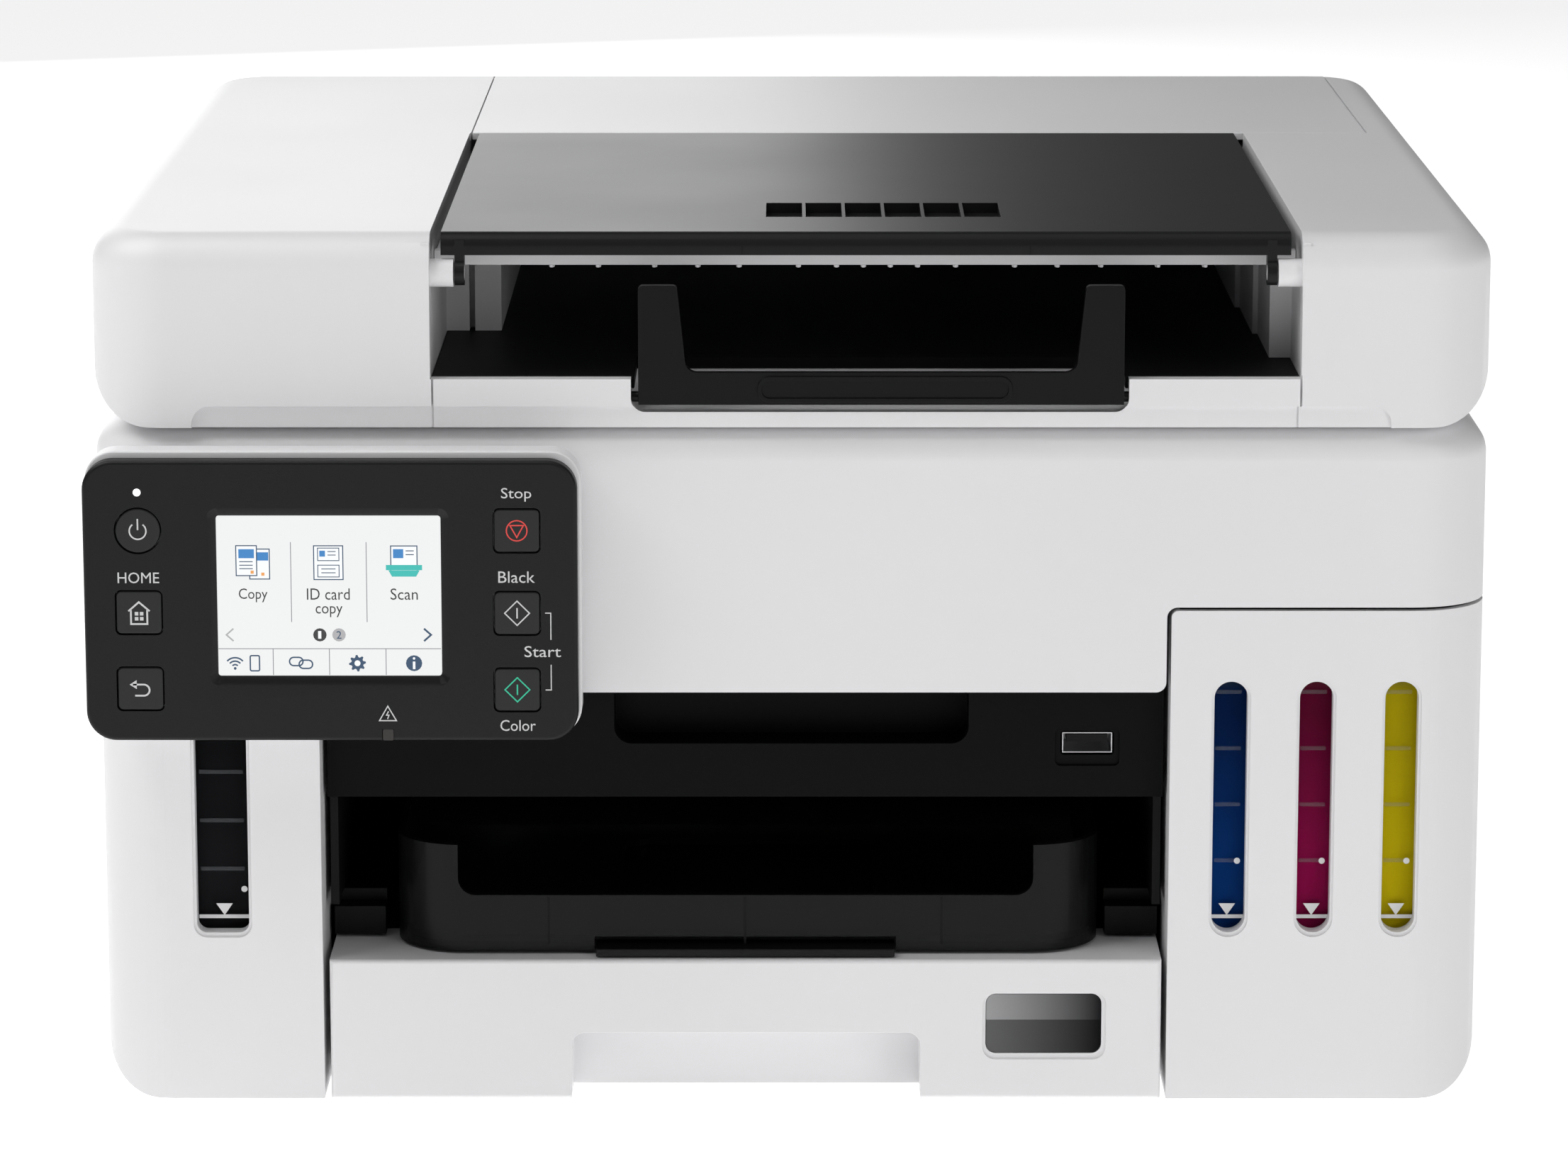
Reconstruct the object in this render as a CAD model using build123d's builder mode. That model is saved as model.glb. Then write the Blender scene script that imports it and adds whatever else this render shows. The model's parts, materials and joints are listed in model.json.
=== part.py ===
"""Four-tank inkjet printer with a flatbed scanner and a document feeder.

Millimetres. The origin is on the table under the centre of the overall box:
+X is the printer's right side as seen from the front, +Y is the back, +Z is up.
"""

import os

from build123d import *

os.makedirs("parts", exist_ok=True)

# ---------------------------------------------------------------- driving dimensions
width = 399.0
depth = 410.0
height = 254.0
half_width = width / 2
panel_front = -depth / 2
body_front = -186.0
rear = depth / 2
body_depth = rear - body_front
body_middle = (rear + body_front) / 2
corner_radius = 22.0
wall = 2.4
fit_gap = 0.3

foot_height = 1.5
cover_top = 146.0
shoulder_top = 160.6
shoulder_front = 189.0
scanner_bottom = 147.0
scanner_top = 198.2
lid_bottom = 199.0
lid_top = height

bay_left = -133.4
bay_right = 106.9
paper_centre = -13.3
cassette_top = 43.0
feed_centre = 21.0

tank_window_x = {"cyan": 125.9, "magenta": 150.35, "yellow": 174.8}
tank_window_width = 9.6
black_window_x = -163.9
black_window_width = 15.0
window_bottom = 51.1
window_top = 125.2

# Hinge barrels: the pins are moulded on one piece and run in bores of the other.
scanner_hinge = (203.6, 161.3)
scanner_knuckle_x = (-128.0, 118.0)
lid_hinge = (203.0, 200.5)
lid_knuckle_x = (-125.0, 115.0)
panel_hinge = (-190.5, 190.5)
panel_arm_x = (-176.0, -94.0)
knuckle_length = 10.0
pin_reach = 4.0
jam_hinge = (203.6, 63.6)
feeder_cover_hinge = (194.6, 252.8)
slim_pin = 0.8
hinge_pin = 1.0
running_gap = 0.05


# ---------------------------------------------------------------- shaping helpers
def block(x, y, z, mode=Mode.ADD):
    """Square-edged block between two corners, in the open part."""
    with Locations(((x[0] + x[1]) / 2, (y[0] + y[1]) / 2, (z[0] + z[1]) / 2)):
        Box(x[1] - x[0], y[1] - y[0], z[1] - z[0], mode=mode)


def plan_block(x, y, z, radius, mode=Mode.ADD):
    """Block with its upright corners rounded."""
    with BuildSketch(Plane.XY.offset(z[0])) as outline:
        with Locations(((x[0] + x[1]) / 2, (y[0] + y[1]) / 2)):
            RectangleRounded(x[1] - x[0], y[1] - y[0], radius)
    extrude(outline.sketch, amount=z[1] - z[0], mode=mode)


def front_block(x, y, z, radius, mode=Mode.ADD):
    """Block whose outline seen from the front has rounded corners."""
    with BuildSketch(Plane.XZ.offset(-y[0])) as outline:
        with Locations(((x[0] + x[1]) / 2, (z[0] + z[1]) / 2)):
            RectangleRounded(x[1] - x[0], z[1] - z[0], radius)
    extrude(outline.sketch, amount=y[0] - y[1], mode=mode)


def rod_x(x, y, z, radius, mode=Mode.ADD):
    """Round bar along X."""
    with BuildSketch(Plane.YZ.offset(x[0])) as section:
        with Locations((y, z)):
            Circle(radius)
    extrude(section.sketch, amount=x[1] - x[0], mode=mode)


def rod_y(x, y, z, radius, mode=Mode.ADD):
    """Round bar along Y."""
    with BuildSketch(Plane.XZ.offset(-y[0])) as section:
        with Locations((x, z)):
            Circle(radius)
    extrude(section.sketch, amount=y[0] - y[1], mode=mode)


def rod_z(x, y, z, radius, mode=Mode.ADD):
    """Round bar along Z."""
    with BuildSketch(Plane.XY.offset(z[0])) as section:
        with Locations((x, y)):
            Circle(radius)
    extrude(section.sketch, amount=z[1] - z[0], mode=mode)


def knuckle(start, axis, radius, pin_radius):
    """Hinge knuckle along X with a pin that stands out at both of its ends."""
    rod_x((start, start + knuckle_length), axis[0], axis[1], radius)
    rod_x((start - pin_reach, start + knuckle_length + pin_reach), axis[0], axis[1], pin_radius)


def pin_bore(start, axis, pin_radius):
    """Bore for a knuckle's pins, a little longer than they are."""
    reach = pin_reach + 0.4
    bore_x = (start - reach, start + knuckle_length + reach)
    rod_x(bore_x, axis[0], axis[1], pin_radius + running_gap, Mode.SUBTRACT)


def body_plan(z, inset=0.0, mode=Mode.ADD):
    """The printer's rounded plan between two levels, pulled in by inset."""
    edges_x = (-half_width + inset, half_width - inset)
    edges_y = (body_front + inset, rear - inset)
    plan_block(edges_x, edges_y, z, corner_radius - inset, mode)


def side_profile(z, radius, inset=0.0, mode=Mode.INTERSECT):
    """Trim the open part to a front outline with rounded lower side edges."""
    with BuildSketch(Plane.XZ.offset(-body_front + 1)) as outline:
        with Locations((0, (z[0] + z[1]) / 2)):
            Rectangle(width - 2 * inset, z[1] - z[0])
        fillet(outline.vertices().group_by(Axis.Y)[0], radius - inset)
    extrude(outline.sketch, amount=-body_depth - 2, mode=mode)


def finish(piece, name):
    """Label a finished piece and write it under its own name."""
    piece.part.label = name
    export_step(piece.part, "parts/" + name + ".step")


# ---------------------------------------------------------------- lower covers
# The moulded outside of the lower body, with its hollow core, cut into three covers below.
belly_radius = 16.0
with BuildPart() as lower_outside:
    body_plan((foot_height, shoulder_top))
    side_profile((foot_height, 400), belly_radius)

with BuildPart() as lower_core:
    body_plan((foot_height + wall, 400), wall)
    side_profile((foot_height + wall, 500), belly_radius, wall)

tower_left = -135.2
tower_right = 108.5
rear_cover_half = 176.0
window_land = 0.8
window_plane = -180.0


def cover_shell(x):
    """Side tower of the lower body: front, side, floor and rear corner in one shell."""
    add(lower_outside.part)
    add(lower_core.part, mode=Mode.SUBTRACT)
    block(x, (body_front - 1, rear + 1), (0, shoulder_top), mode=Mode.INTERSECT)
    block((-half_width, half_width), (body_front - 1, shoulder_front), (cover_top, 200), Mode.SUBTRACT)
    spare = rear_cover_half + fit_gap
    block((-spare, spare), (rear - 3 * wall, rear + 1), (foot_height + wall, 200), Mode.SUBTRACT)


def window_slot(x, slot_width, radius):
    """Ink window: a collar behind the front wall, the slot through it and its bevelled mouth."""
    half = slot_width / 2
    rim = wall / 2
    collar_z = (window_bottom - rim, window_top + rim)
    front_block((x - half - rim, x + half + rim), (body_front + 1, window_plane), collar_z, radius + rim)
    slot_x = (x - half, x + half)
    slot_z = (window_bottom, window_top)
    front_block(slot_x, (body_front - 1, window_plane + 1), slot_z, radius, Mode.SUBTRACT)
    mouth_x = (x - half - window_land, x + half + window_land)
    mouth_y = (body_front - 1, body_front + window_land)
    mouth_z = (window_bottom - 1.5 * window_land, window_top + window_land)
    front_block(mouth_x, mouth_y, mouth_z, radius + window_land, Mode.SUBTRACT)


with BuildPart() as left_tank_cover:
    cover_shell((-half_width, tower_left))
    block((tower_left - wall, tower_left), (body_front, -152), (foot_height, cover_top))
    window_slot(black_window_x, black_window_width, 3.0)
finish(left_tank_cover, "left_tank_cover")

with BuildPart() as right_tank_cover:
    cover_shell((tower_right, half_width))
    block((tower_right, tower_right + wall), (body_front, -152), (foot_height, cover_top))
    corner_edges = right_tank_cover.edges().filter_by(Axis.Y).filter_by_position(
        Axis.X, tower_right - 0.01, tower_right + 0.01
    )
    fillet(corner_edges.sort_by(Axis.Z)[-1], 2.0)
    for window_x in tank_window_x.values():
        window_slot(window_x, tank_window_width, tank_window_width / 2 - 0.01)
finish(right_tank_cover, "right_tank_cover")

jam_door_x = (-100.0, 70.0)
jam_door_z = (62.0, 128.0)
cartridge_x = (120.0, 166.0)
cartridge_z = (12.0, 52.0)
inlet_x = (-169.0, -141.0)
inlet_z = (16.0, 40.0)
lan_x = (-160.0, -144.0)
lan_z = (64.0, 78.0)
usb_b_x = (-130.0, -118.0)
usb_b_z = (65.0, 76.0)
screw_head = 3.0
screw_places = ((-168, 150), (0, 150), (168, 150), (-60, 12), (60, 12), (112, 100))
knuckle_radius = 1.4

with BuildPart() as rear_cover:
    block((-rear_cover_half, rear_cover_half), (rear - wall, rear), (foot_height + wall, shoulder_top))
    clear = fit_gap
    for x, z in ((jam_door_x, jam_door_z), (cartridge_x, cartridge_z), (inlet_x, inlet_z)):
        opening_x = (x[0] - clear, x[1] + clear)
        block(opening_x, (rear - 5, rear + 1), (z[0] - clear, z[1] + clear), Mode.SUBTRACT)
    for x, z in ((lan_x, lan_z), (usb_b_x, usb_b_z)):
        block(x, (rear - 5, rear + 1), z, Mode.SUBTRACT)
    for row in range(9):
        vent_z = 20 + 6 * row
        block((84, 110), (rear - 5, rear + 1), (vent_z, vent_z + 2.5), Mode.SUBTRACT)
    for screw_x, screw_z in screw_places:
        rod_y(screw_x, (rear - wall + 0.2, rear + 1), screw_z, screw_head + 0.05, Mode.SUBTRACT)
    # the scanner unit's own knuckles turn in notches each side of the cover's
    for start in scanner_knuckle_x:
        notch_x = (start - knuckle_length, start + 2 * knuckle_length)
        rod_x(notch_x, scanner_hinge[0], scanner_hinge[1], knuckle_radius + 0.4, Mode.SUBTRACT)
        block((start, start + knuckle_length), (rear - wall, rear), (shoulder_top - 3, scanner_hinge[1]))
        knuckle(start, scanner_hinge, knuckle_radius, slim_pin)
    door_bore_x = (jam_door_x[0] - 2.4, jam_door_x[1] + 2.4)
    rod_x(door_bore_x, jam_hinge[0], jam_hinge[1], slim_pin + running_gap, Mode.SUBTRACT)
finish(rear_cover, "rear_cover")

# ---------------------------------------------------------------- chassis inside the covers
floor_bottom = 4.2
floor_top = 6.6
bay_wall_left = -139.5
bay_wall_right = 110.2
frame_front = -146.0
frame_rear = 196.0
roller_y = 34.0
roller_z = 98.0
roller_radius = 7.0
journal_radius = 4.0
exit_y = -76.0
exit_z = 97.0
exit_radius = 5.0
exit_journal = 2.5

with BuildPart() as base_frame:
    block((-176, 176), (frame_front, frame_rear), (floor_bottom, floor_top))
    for wall_x in (bay_wall_left, bay_wall_right):
        block((wall_x, wall_x + wall), (-148, frame_rear), (floor_top, 92))
        block((wall_x, wall_x + wall), (20, 60), (92, 116))
    block((bay_wall_left, bay_wall_right + wall), (frame_rear - wall, frame_rear), (floor_top, 60))
    for brace_y in (60, 120):
        block((bay_wall_left, bay_wall_right + wall), (brace_y, brace_y + 8), (86, 92))
    block((bay_wall_right, 176), (frame_rear - 90, frame_rear - 90 + wall), (floor_top, 60))
    for side in (-1, 1):
        for screw_y in (-120, 150):
            rod_z(side * 158, screw_y, (foot_height + wall, floor_bottom), 5)
    for wall_x in (bay_wall_left, bay_wall_right):
        journal_x = (wall_x - 1, wall_x + wall + 1)
        rod_x(journal_x, roller_y, roller_z, journal_radius + running_gap, Mode.SUBTRACT)
finish(base_frame, "base_frame")

foot_radius = 9.0
with BuildPart() as rubber_feet:
    for foot_x in (-158, 158):
        for foot_y in (-150, 172):
            rod_z(foot_x, foot_y, (0, foot_height), foot_radius)
finish(rubber_feet, "rubber_feet")

cavity_left = -133.6
cavity_right = 107.0
with BuildPart() as output_guide:
    block((cavity_left, cavity_left + wall), (-172, -36), (56, 88.6))
    block((cavity_right - wall, cavity_right), (-172, -36), (56, 88.6))
    for rail_x in ((cavity_left, -118.6), (91.6, cavity_right)):
        block(rail_x, (-153, -36), (44, 56))
        block(rail_x, (-160.5, -153), (44, 52.5))
    block((cavity_left, cavity_right), (-38.4, -36), (56, 88.6))
    block((cavity_left, cavity_right), (-149, -96), (86.2, 88.6))
    for rib in range(8):
        rib_x = cavity_left + 22 + rib * 28
        block((rib_x, rib_x + 2), (-149, -96), (83, 86.2))
    for plate_x in (cavity_left, cavity_right - wall):
        block((plate_x, plate_x + wall), (exit_y - 5, exit_y + 5), (88, 103))
        journal_x = (plate_x - 1, plate_x + wall + 1)
        rod_x(journal_x, exit_y, exit_z, exit_journal + running_gap, Mode.SUBTRACT)
finish(output_guide, "output_guide")

pocket_half = 51.0
usb_x = (77.6, 93.0)
usb_z = (101.4, 108.4)
with BuildPart() as inner_front_panel:
    block((-133.9, 107.2), (-176, -176 + wall), (89.1, 150))
    block((-133.9, 107.2), (-176, -151), (89.1, 91.5))
    block((-pocket_half - 2, pocket_half + 2), (-175, -160), (103, 150))
    pocket_x = (-pocket_half, pocket_half)
    front_block(pocket_x, (-177, -162), (105, 160), 5.0, Mode.SUBTRACT)
    front_block((76.1, 94.5), (-177, -175), (98.4, 109.3), 1.5, Mode.SUBTRACT)
    front_block(usb_x, (-178, -170), usb_z, 1.0, Mode.SUBTRACT)
finish(inner_front_panel, "inner_front_panel")

# ---------------------------------------------------------------- ink tanks and ink
tank_front = window_plane + 0.2
tank_back = -104.0
tank_bottom = 44.0
tank_top = 140.0
tank_wall = 1.6
ink_top = 128.5
cap_y = -140.0
cap_hinge_y = -127.0
cap_hinge_z = tank_top + 9.0
spout_radius = 5.0
pin_radius = 1.2
chambers = {
    "black": (-174.5, -150.5),
    "cyan": (114.5, 136.6),
    "magenta": (139.2, 161.4),
    "yellow": (164.0, 184.0),
}


def tank_body(names):
    """Clear moulded tank with one chamber, one filler spout and one cap hinge for each ink."""
    first = chambers[names[0]][0] - tank_wall
    last = chambers[names[-1]][1] + tank_wall
    block((first, last), (tank_front, tank_back), (tank_bottom, tank_top))
    for ink in names:
        low, high = chambers[ink]
        inner_y = (tank_front + tank_wall, tank_back - tank_wall)
        block((low, high), inner_y, (tank_bottom + tank_wall, tank_top - tank_wall), Mode.SUBTRACT)
        middle = (low + high) / 2
        rod_z(middle, cap_y, (tank_top - tank_wall, tank_top + 5), spout_radius)
        rod_z(middle, cap_y, (tank_bottom + 10, tank_top + 6), spout_radius - 1.4, Mode.SUBTRACT)
        for side in (-1, 1):
            ear = middle + side * 6.5
            ear_y = (cap_hinge_y - 2.5, cap_hinge_y + 2.5)
            block((ear - 1, ear + 1), ear_y, (tank_top - 0.5, cap_hinge_z + 2.5))
        rod_x((middle - 6, middle + 6), cap_hinge_y, cap_hinge_z, pin_radius)


with BuildPart() as black_ink_tank:
    tank_body(["black"])
finish(black_ink_tank, "black_ink_tank")

with BuildPart() as color_ink_tank:
    tank_body(["cyan", "magenta", "yellow"])
finish(color_ink_tank, "color_ink_tank")

for ink, (low, high) in chambers.items():
    with BuildPart() as ink_fill:
        ink_y = (tank_front + tank_wall, tank_back - tank_wall)
        block((low, high), ink_y, (tank_bottom + tank_wall, ink_top))
    finish(ink_fill, ink + "_ink")

    middle = (low + high) / 2
    with BuildPart() as tank_cap:
        rod_z(middle, cap_y, (tank_top + 5.2, tank_top + 8.6), 7.0)
        rod_z(middle, cap_y, (tank_top + 2.2, tank_top + 5.2), spout_radius - 1.6)
        block((middle - 3, middle + 3), (cap_y + 5, cap_hinge_y), (tank_top + 6.6, tank_top + 8.6))
        rod_x((middle - 4.5, middle + 4.5), cap_hinge_y, cap_hinge_z, 2.8)
        rod_x((middle - 5, middle + 5), cap_hinge_y, cap_hinge_z, pin_radius + running_gap, Mode.SUBTRACT)
    finish(tank_cap, ink + "_tank_cap")

# ---------------------------------------------------------------- print mechanism
carriage_park = (116.0, 178.0)
carriage_y = (-48.0, 8.0)
platen_x = (-128.0, 103.0)
rail_y = (10.4, 26.0)

with BuildPart() as print_platen:
    block(platen_x, (-44, 6), (93, 97))
    for rib in range(15):
        rib_x = platen_x[0] + 6 + rib * 15.6
        block((rib_x, rib_x + 1.4), (-40, 4), (97, 98.6))
finish(print_platen, "print_platen")

with BuildPart() as carriage_rail:
    block((-176, 180), (rail_y[0], rail_y[0] + 1.6), (116.2, 146))
    block((-176, 180), rail_y, (144.4, 146))
    block((-176, 180), rail_y, (116.2, 117.8))
finish(carriage_rail, "carriage_rail")

with BuildPart() as print_carriage:
    block(carriage_park, carriage_y, (106, 150))
    block((120, 174), (-44, 4), (110, 151), Mode.SUBTRACT)
    block((118, 176), (8, rail_y[0] - 0.4), (120, 142))
    for slot in range(3):
        divider_x = 132.5 + slot * 13
        block((divider_x, divider_x + 1.6), (-44, 4), (115, 140))
    block((122, 172), (-40, 0), (105, 111), Mode.SUBTRACT)
finish(print_carriage, "print_carriage")

with BuildPart() as print_head:
    block((123, 171), (-39, -1), (100.2, 109.5))
    block((121.6, 172.4), (-41, 1), (110.2, 114))
    block((124, 170), (-38, -2), (109.5, 110.2))
finish(print_head, "print_head")

with BuildPart() as purge_unit:
    block((118, 176), (-46, 4), (62, 92))
    block((124, 170), (-40, -2), (92, 98.6))
    block((127, 167), (-37, -5), (95, 99), Mode.SUBTRACT)
finish(purge_unit, "purge_unit")

roller_face_x = (bay_wall_left + wall + 0.5, bay_wall_right - 0.5)
with BuildPart() as feed_roller:
    rod_x((bay_wall_left - 8, bay_wall_right + 10), roller_y, roller_z, journal_radius)
    rod_x(roller_face_x, roller_y, roller_z, roller_radius)
finish(feed_roller, "feed_roller")

with BuildPart() as exit_roller:
    rod_x((cavity_left - 2, cavity_right + 2), exit_y, exit_z, exit_journal)
    for ring in range(8):
        ring_x = -118 + ring * 28
        rod_x((ring_x, ring_x + 10), exit_y, exit_z, exit_radius)
finish(exit_roller, "exit_roller")

with BuildPart() as drive_motors:
    rod_y(-166, (28, 60), 128, 13)
    rod_x((-182, -152), 96, 78, 15)
finish(drive_motors, "drive_motors")

with BuildPart() as main_board:
    block((-193, -191.4), (-60, 150), (34, 128))
    for chip_y, chip_size in ((-20, 24), (40, 30), (100, 18)):
        block((-191.4, -189.6), (chip_y, chip_y + chip_size), (60, 60 + chip_size))
finish(main_board, "main_board")

# The supply's mains inlet is a socket on the end of its case, flush with the rear cover.
with BuildPart() as power_supply:
    block((-174, -142), (10, 176), (floor_top, 48))
    block(inlet_x, (176, rear - 0.2), inlet_z)
    block((inlet_x[0] + 3, inlet_x[1] - 3), (190, rear + 1), (inlet_z[0] + 3, inlet_z[1] - 3), Mode.SUBTRACT)
    for pin_x in (-160, -150):
        block((pin_x - 0.8, pin_x + 0.8), (189, 200), (25, 31))
finish(power_supply, "power_supply")

shell_gap = 0.2
with BuildPart() as connector_ports:
    low_x, high_x = lan_x[0] + shell_gap, lan_x[1] - shell_gap
    block((low_x, high_x), (186, rear - 0.4), (lan_z[0] + shell_gap, lan_z[1] - shell_gap))
    block((lan_x[0] + 2, lan_x[1] - 2), (192, rear), (lan_z[0] + 2, lan_z[1] - 3), Mode.SUBTRACT)
    low_x, high_x = usb_b_x[0] + shell_gap, usb_b_x[1] - shell_gap
    block((low_x, high_x), (188, rear - 0.4), (usb_b_z[0] + shell_gap, usb_b_z[1] - shell_gap))
    block((low_x + 1, high_x - 1), (192, rear), (usb_b_z[0] + 1.2, usb_b_z[1] - 1.2), Mode.SUBTRACT)
    block((-127, -121), (191, 202), (68.5, 72.5))
    shell_x = (usb_x[0] + 0.4, usb_x[1] - 0.4)
    shell_z = (usb_z[0] + 0.4, usb_z[1] - 0.4)
    block(shell_x, (-174.6, -158), shell_z)
    inner_x = (shell_x[0] + 0.5, shell_x[1] - 0.5)
    block(inner_x, (-175, -160), (shell_z[0] + 0.5, shell_z[1] - 0.5), Mode.SUBTRACT)
    block((inner_x[0] + 1, inner_x[1] - 1), (-173.5, -159), (105, 107))
finish(connector_ports, "connector_ports")

with BuildPart() as housing_screws:
    for screw_x, screw_z in screw_places:
        rod_y(screw_x, (rear - wall + 0.2, rear - 0.1), screw_z, screw_head)
        block((screw_x - 1.8, screw_x + 1.8), (rear - 0.7, rear), (screw_z - 0.4, screw_z + 0.4), Mode.SUBTRACT)
        block((screw_x - 0.4, screw_x + 0.4), (rear - 0.7, rear), (screw_z - 1.8, screw_z + 1.8), Mode.SUBTRACT)
finish(housing_screws, "housing_screws")

# ---------------------------------------------------------------- pieces served from the back
cartridge_front = 112.0
with BuildPart() as maintenance_cartridge:
    block(cartridge_x, (cartridge_front, rear - 0.3), cartridge_z)
    block((cartridge_x[0] + 2, cartridge_x[1] - 2), (cartridge_front + 2, 180), (20, 60), Mode.SUBTRACT)
    grip_x = (cartridge_x[0] + 10, cartridge_x[1] - 10)
    front_block(grip_x, (rear - 10, rear + 1), (24, 40), 3.0, Mode.SUBTRACT)
finish(maintenance_cartridge, "maintenance_cartridge")

with BuildPart() as rear_access_cover:
    block(jam_door_x, (rear - wall, rear - 0.2), jam_door_z)
    fillet(rear_access_cover.edges().filter_by(Axis.X).group_by(Axis.Z)[0], 1.0)
    rod_x((jam_door_x[0] - 2, jam_door_x[1] + 2), jam_hinge[0], jam_hinge[1], slim_pin)
    for rib in range(6):
        rib_x = jam_door_x[0] + 8 + rib * 30
        block((rib_x, rib_x + 2), (188, rear - wall), (74, 122))
    grip_x = (-35, 5)
    front_block(grip_x, (rear - 1.2, rear + 1), (jam_door_z[1] - 12, jam_door_z[1] - 5), 2.0, Mode.SUBTRACT)
finish(rear_access_cover, "rear_access_cover")

# ---------------------------------------------------------------- paper cassette
handle_x = (-63.6, 37.3)
handle_depth = 16.0
handle_top = 21.3
label_window_x = (56.2, 89.7)
label_window_z = (15.0, 32.8)
cassette_rear = -150.0

with BuildPart() as cassette_front:
    block((bay_left, bay_right), (body_front, cassette_rear), (foot_height, cassette_top))
    front_edges = cassette_front.edges().group_by(Axis.Y)[0]
    fillet(front_edges, 1.2)
    hollow_x = (bay_left + wall, bay_right - wall)
    hollow_y = (body_front + wall, cassette_rear + 1)
    block(hollow_x, hollow_y, (foot_height + wall, cassette_top - wall), Mode.SUBTRACT)
    pocket_x = (handle_x[0] - wall, handle_x[1] + wall)
    pocket_back = body_front + handle_depth
    block(pocket_x, (body_front + wall, pocket_back + wall), (foot_height, handle_top + wall))
    reach_y = (body_front - 1, pocket_back)
    front_block(handle_x, reach_y, (-handle_top, handle_top), 4.0, Mode.SUBTRACT)
    window_y = (body_front - 1, body_front + wall + 1)
    front_block(label_window_x, window_y, label_window_z, 3.0, Mode.SUBTRACT)
    bevel_x = (label_window_x[0] - 0.8, label_window_x[1] + 1.2)
    bevel_z = (label_window_z[0] - 1.6, label_window_z[1] + 0.6)
    front_block(bevel_x, (body_front - 1, body_front + 0.7), bevel_z, 3.6, Mode.SUBTRACT)
finish(cassette_front, "cassette_front")

with BuildPart() as cassette_window:
    pane_x = (label_window_x[0] + 0.1, label_window_x[1] - 0.1)
    pane_z = (label_window_z[0] + 0.1, label_window_z[1] - 0.1)
    front_block(pane_x, (body_front + 0.9, body_front + wall), pane_z, 2.9)
finish(cassette_window, "cassette_window")

tray_x = (-128.0, 101.4)
tray_floor = 7.8
with BuildPart() as cassette_tray:
    plan_block(tray_x, (-166, 166), (tray_floor, 40), 3.0)
    inner_x = (tray_x[0] + wall, tray_x[1] - wall)
    plan_block(inner_x, (-163.6, 163.6), (tray_floor + wall, 41), 2.0, Mode.SUBTRACT)
    groove_x = (paper_centre - 45, paper_centre + 45)
    for groove_y in (-60, 0, 60):
        block(groove_x, (groove_y, groove_y + 5), (0, tray_floor + 1.2), Mode.SUBTRACT)
finish(cassette_tray, "cassette_tray")

guide_floor = tray_floor + wall + 0.2
for side, name in ((-1, "left_paper_guide"), (1, "right_paper_guide")):
    with BuildPart() as paper_guide:
        upright = sorted((paper_centre + side * 108.6, paper_centre + side * 111))
        foot = sorted((paper_centre + side * 72, paper_centre + side * 110))
        block(upright, (-70, 80), (guide_floor, 37))
        block(foot, (-20, 30), (guide_floor, guide_floor + 1.6))
    finish(paper_guide, name)

# ---------------------------------------------------------------- output tray
output_x = (-114.7, 89.3)
output_front = -179.0
output_rear = -44.0
output_bottom = 43.8
output_top = 75.5
output_floor = 46.2
output_wall = 2.0
handle_slot_x = (-56.9, 30.2)
slider_lip_y = (output_front - 5.0, output_front - 3.8)
with BuildPart() as output_tray:
    plan_block(output_x, (output_front, output_rear + 30), (output_bottom, output_top), 20.0)
    inner_x = (output_x[0] + output_wall, output_x[1] - output_wall)
    inner_y = (output_front + output_wall, output_rear + 40)
    plan_block(inner_x, inner_y, (output_floor + output_wall, 90), 18.0, Mode.SUBTRACT)
    plan_block(inner_x, inner_y, (output_bottom - 1, output_floor), 18.0, Mode.SUBTRACT)
    block((-150, 150), (output_rear, 0), (40, 90), Mode.SUBTRACT)
    front_block((-96.4, 69.9), (output_front - 1, -150), (60.6, 100), 5.0, Mode.SUBTRACT)
    plan_block((-51, 24.5), (-135, -62), (output_floor - 1, 52), 8.0, Mode.SUBTRACT)
    block(handle_slot_x, (output_front - 1, output_front + 4), (40, output_floor + output_wall), Mode.SUBTRACT)
    for rib_x in (-70.2, -13.4, 43.5):
        rib_y = (output_front + output_wall - 0.5, output_front + output_wall + 0.9)
        block((rib_x - 0.5, rib_x + 0.5), rib_y, (output_floor + 1, 60.6))
finish(output_tray, "output_tray")

with BuildPart() as tray_extension:
    slider_x = (handle_slot_x[0] + 0.4, handle_slot_x[1] - 0.4)
    block(slider_x, (slider_lip_y[1], -58), (output_bottom + 0.2, output_floor - 0.4))
    block(slider_x, slider_lip_y, (output_bottom - 0.4, output_floor - 0.4))
finish(tray_extension, "tray_extension")

# ---------------------------------------------------------------- scanner unit
apron_bottom = 122.2
apron_x = (-134.0, 107.2)
deck_bottom = scanner_top - wall
glass_x = (-160.0, 145.0)
glass_y = (-95.0, 125.0)
strip_x = (-186.0, -172.0)
scanner_fillet = 9.0
scanner_pan = (172.0, 174.4)

with BuildPart() as scanner_core:
    body_plan((scanner_bottom - 1, deck_bottom), wall)
    fillet(scanner_core.faces().sort_by(Axis.Z)[-1].edges(), scanner_fillet - wall)

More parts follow.
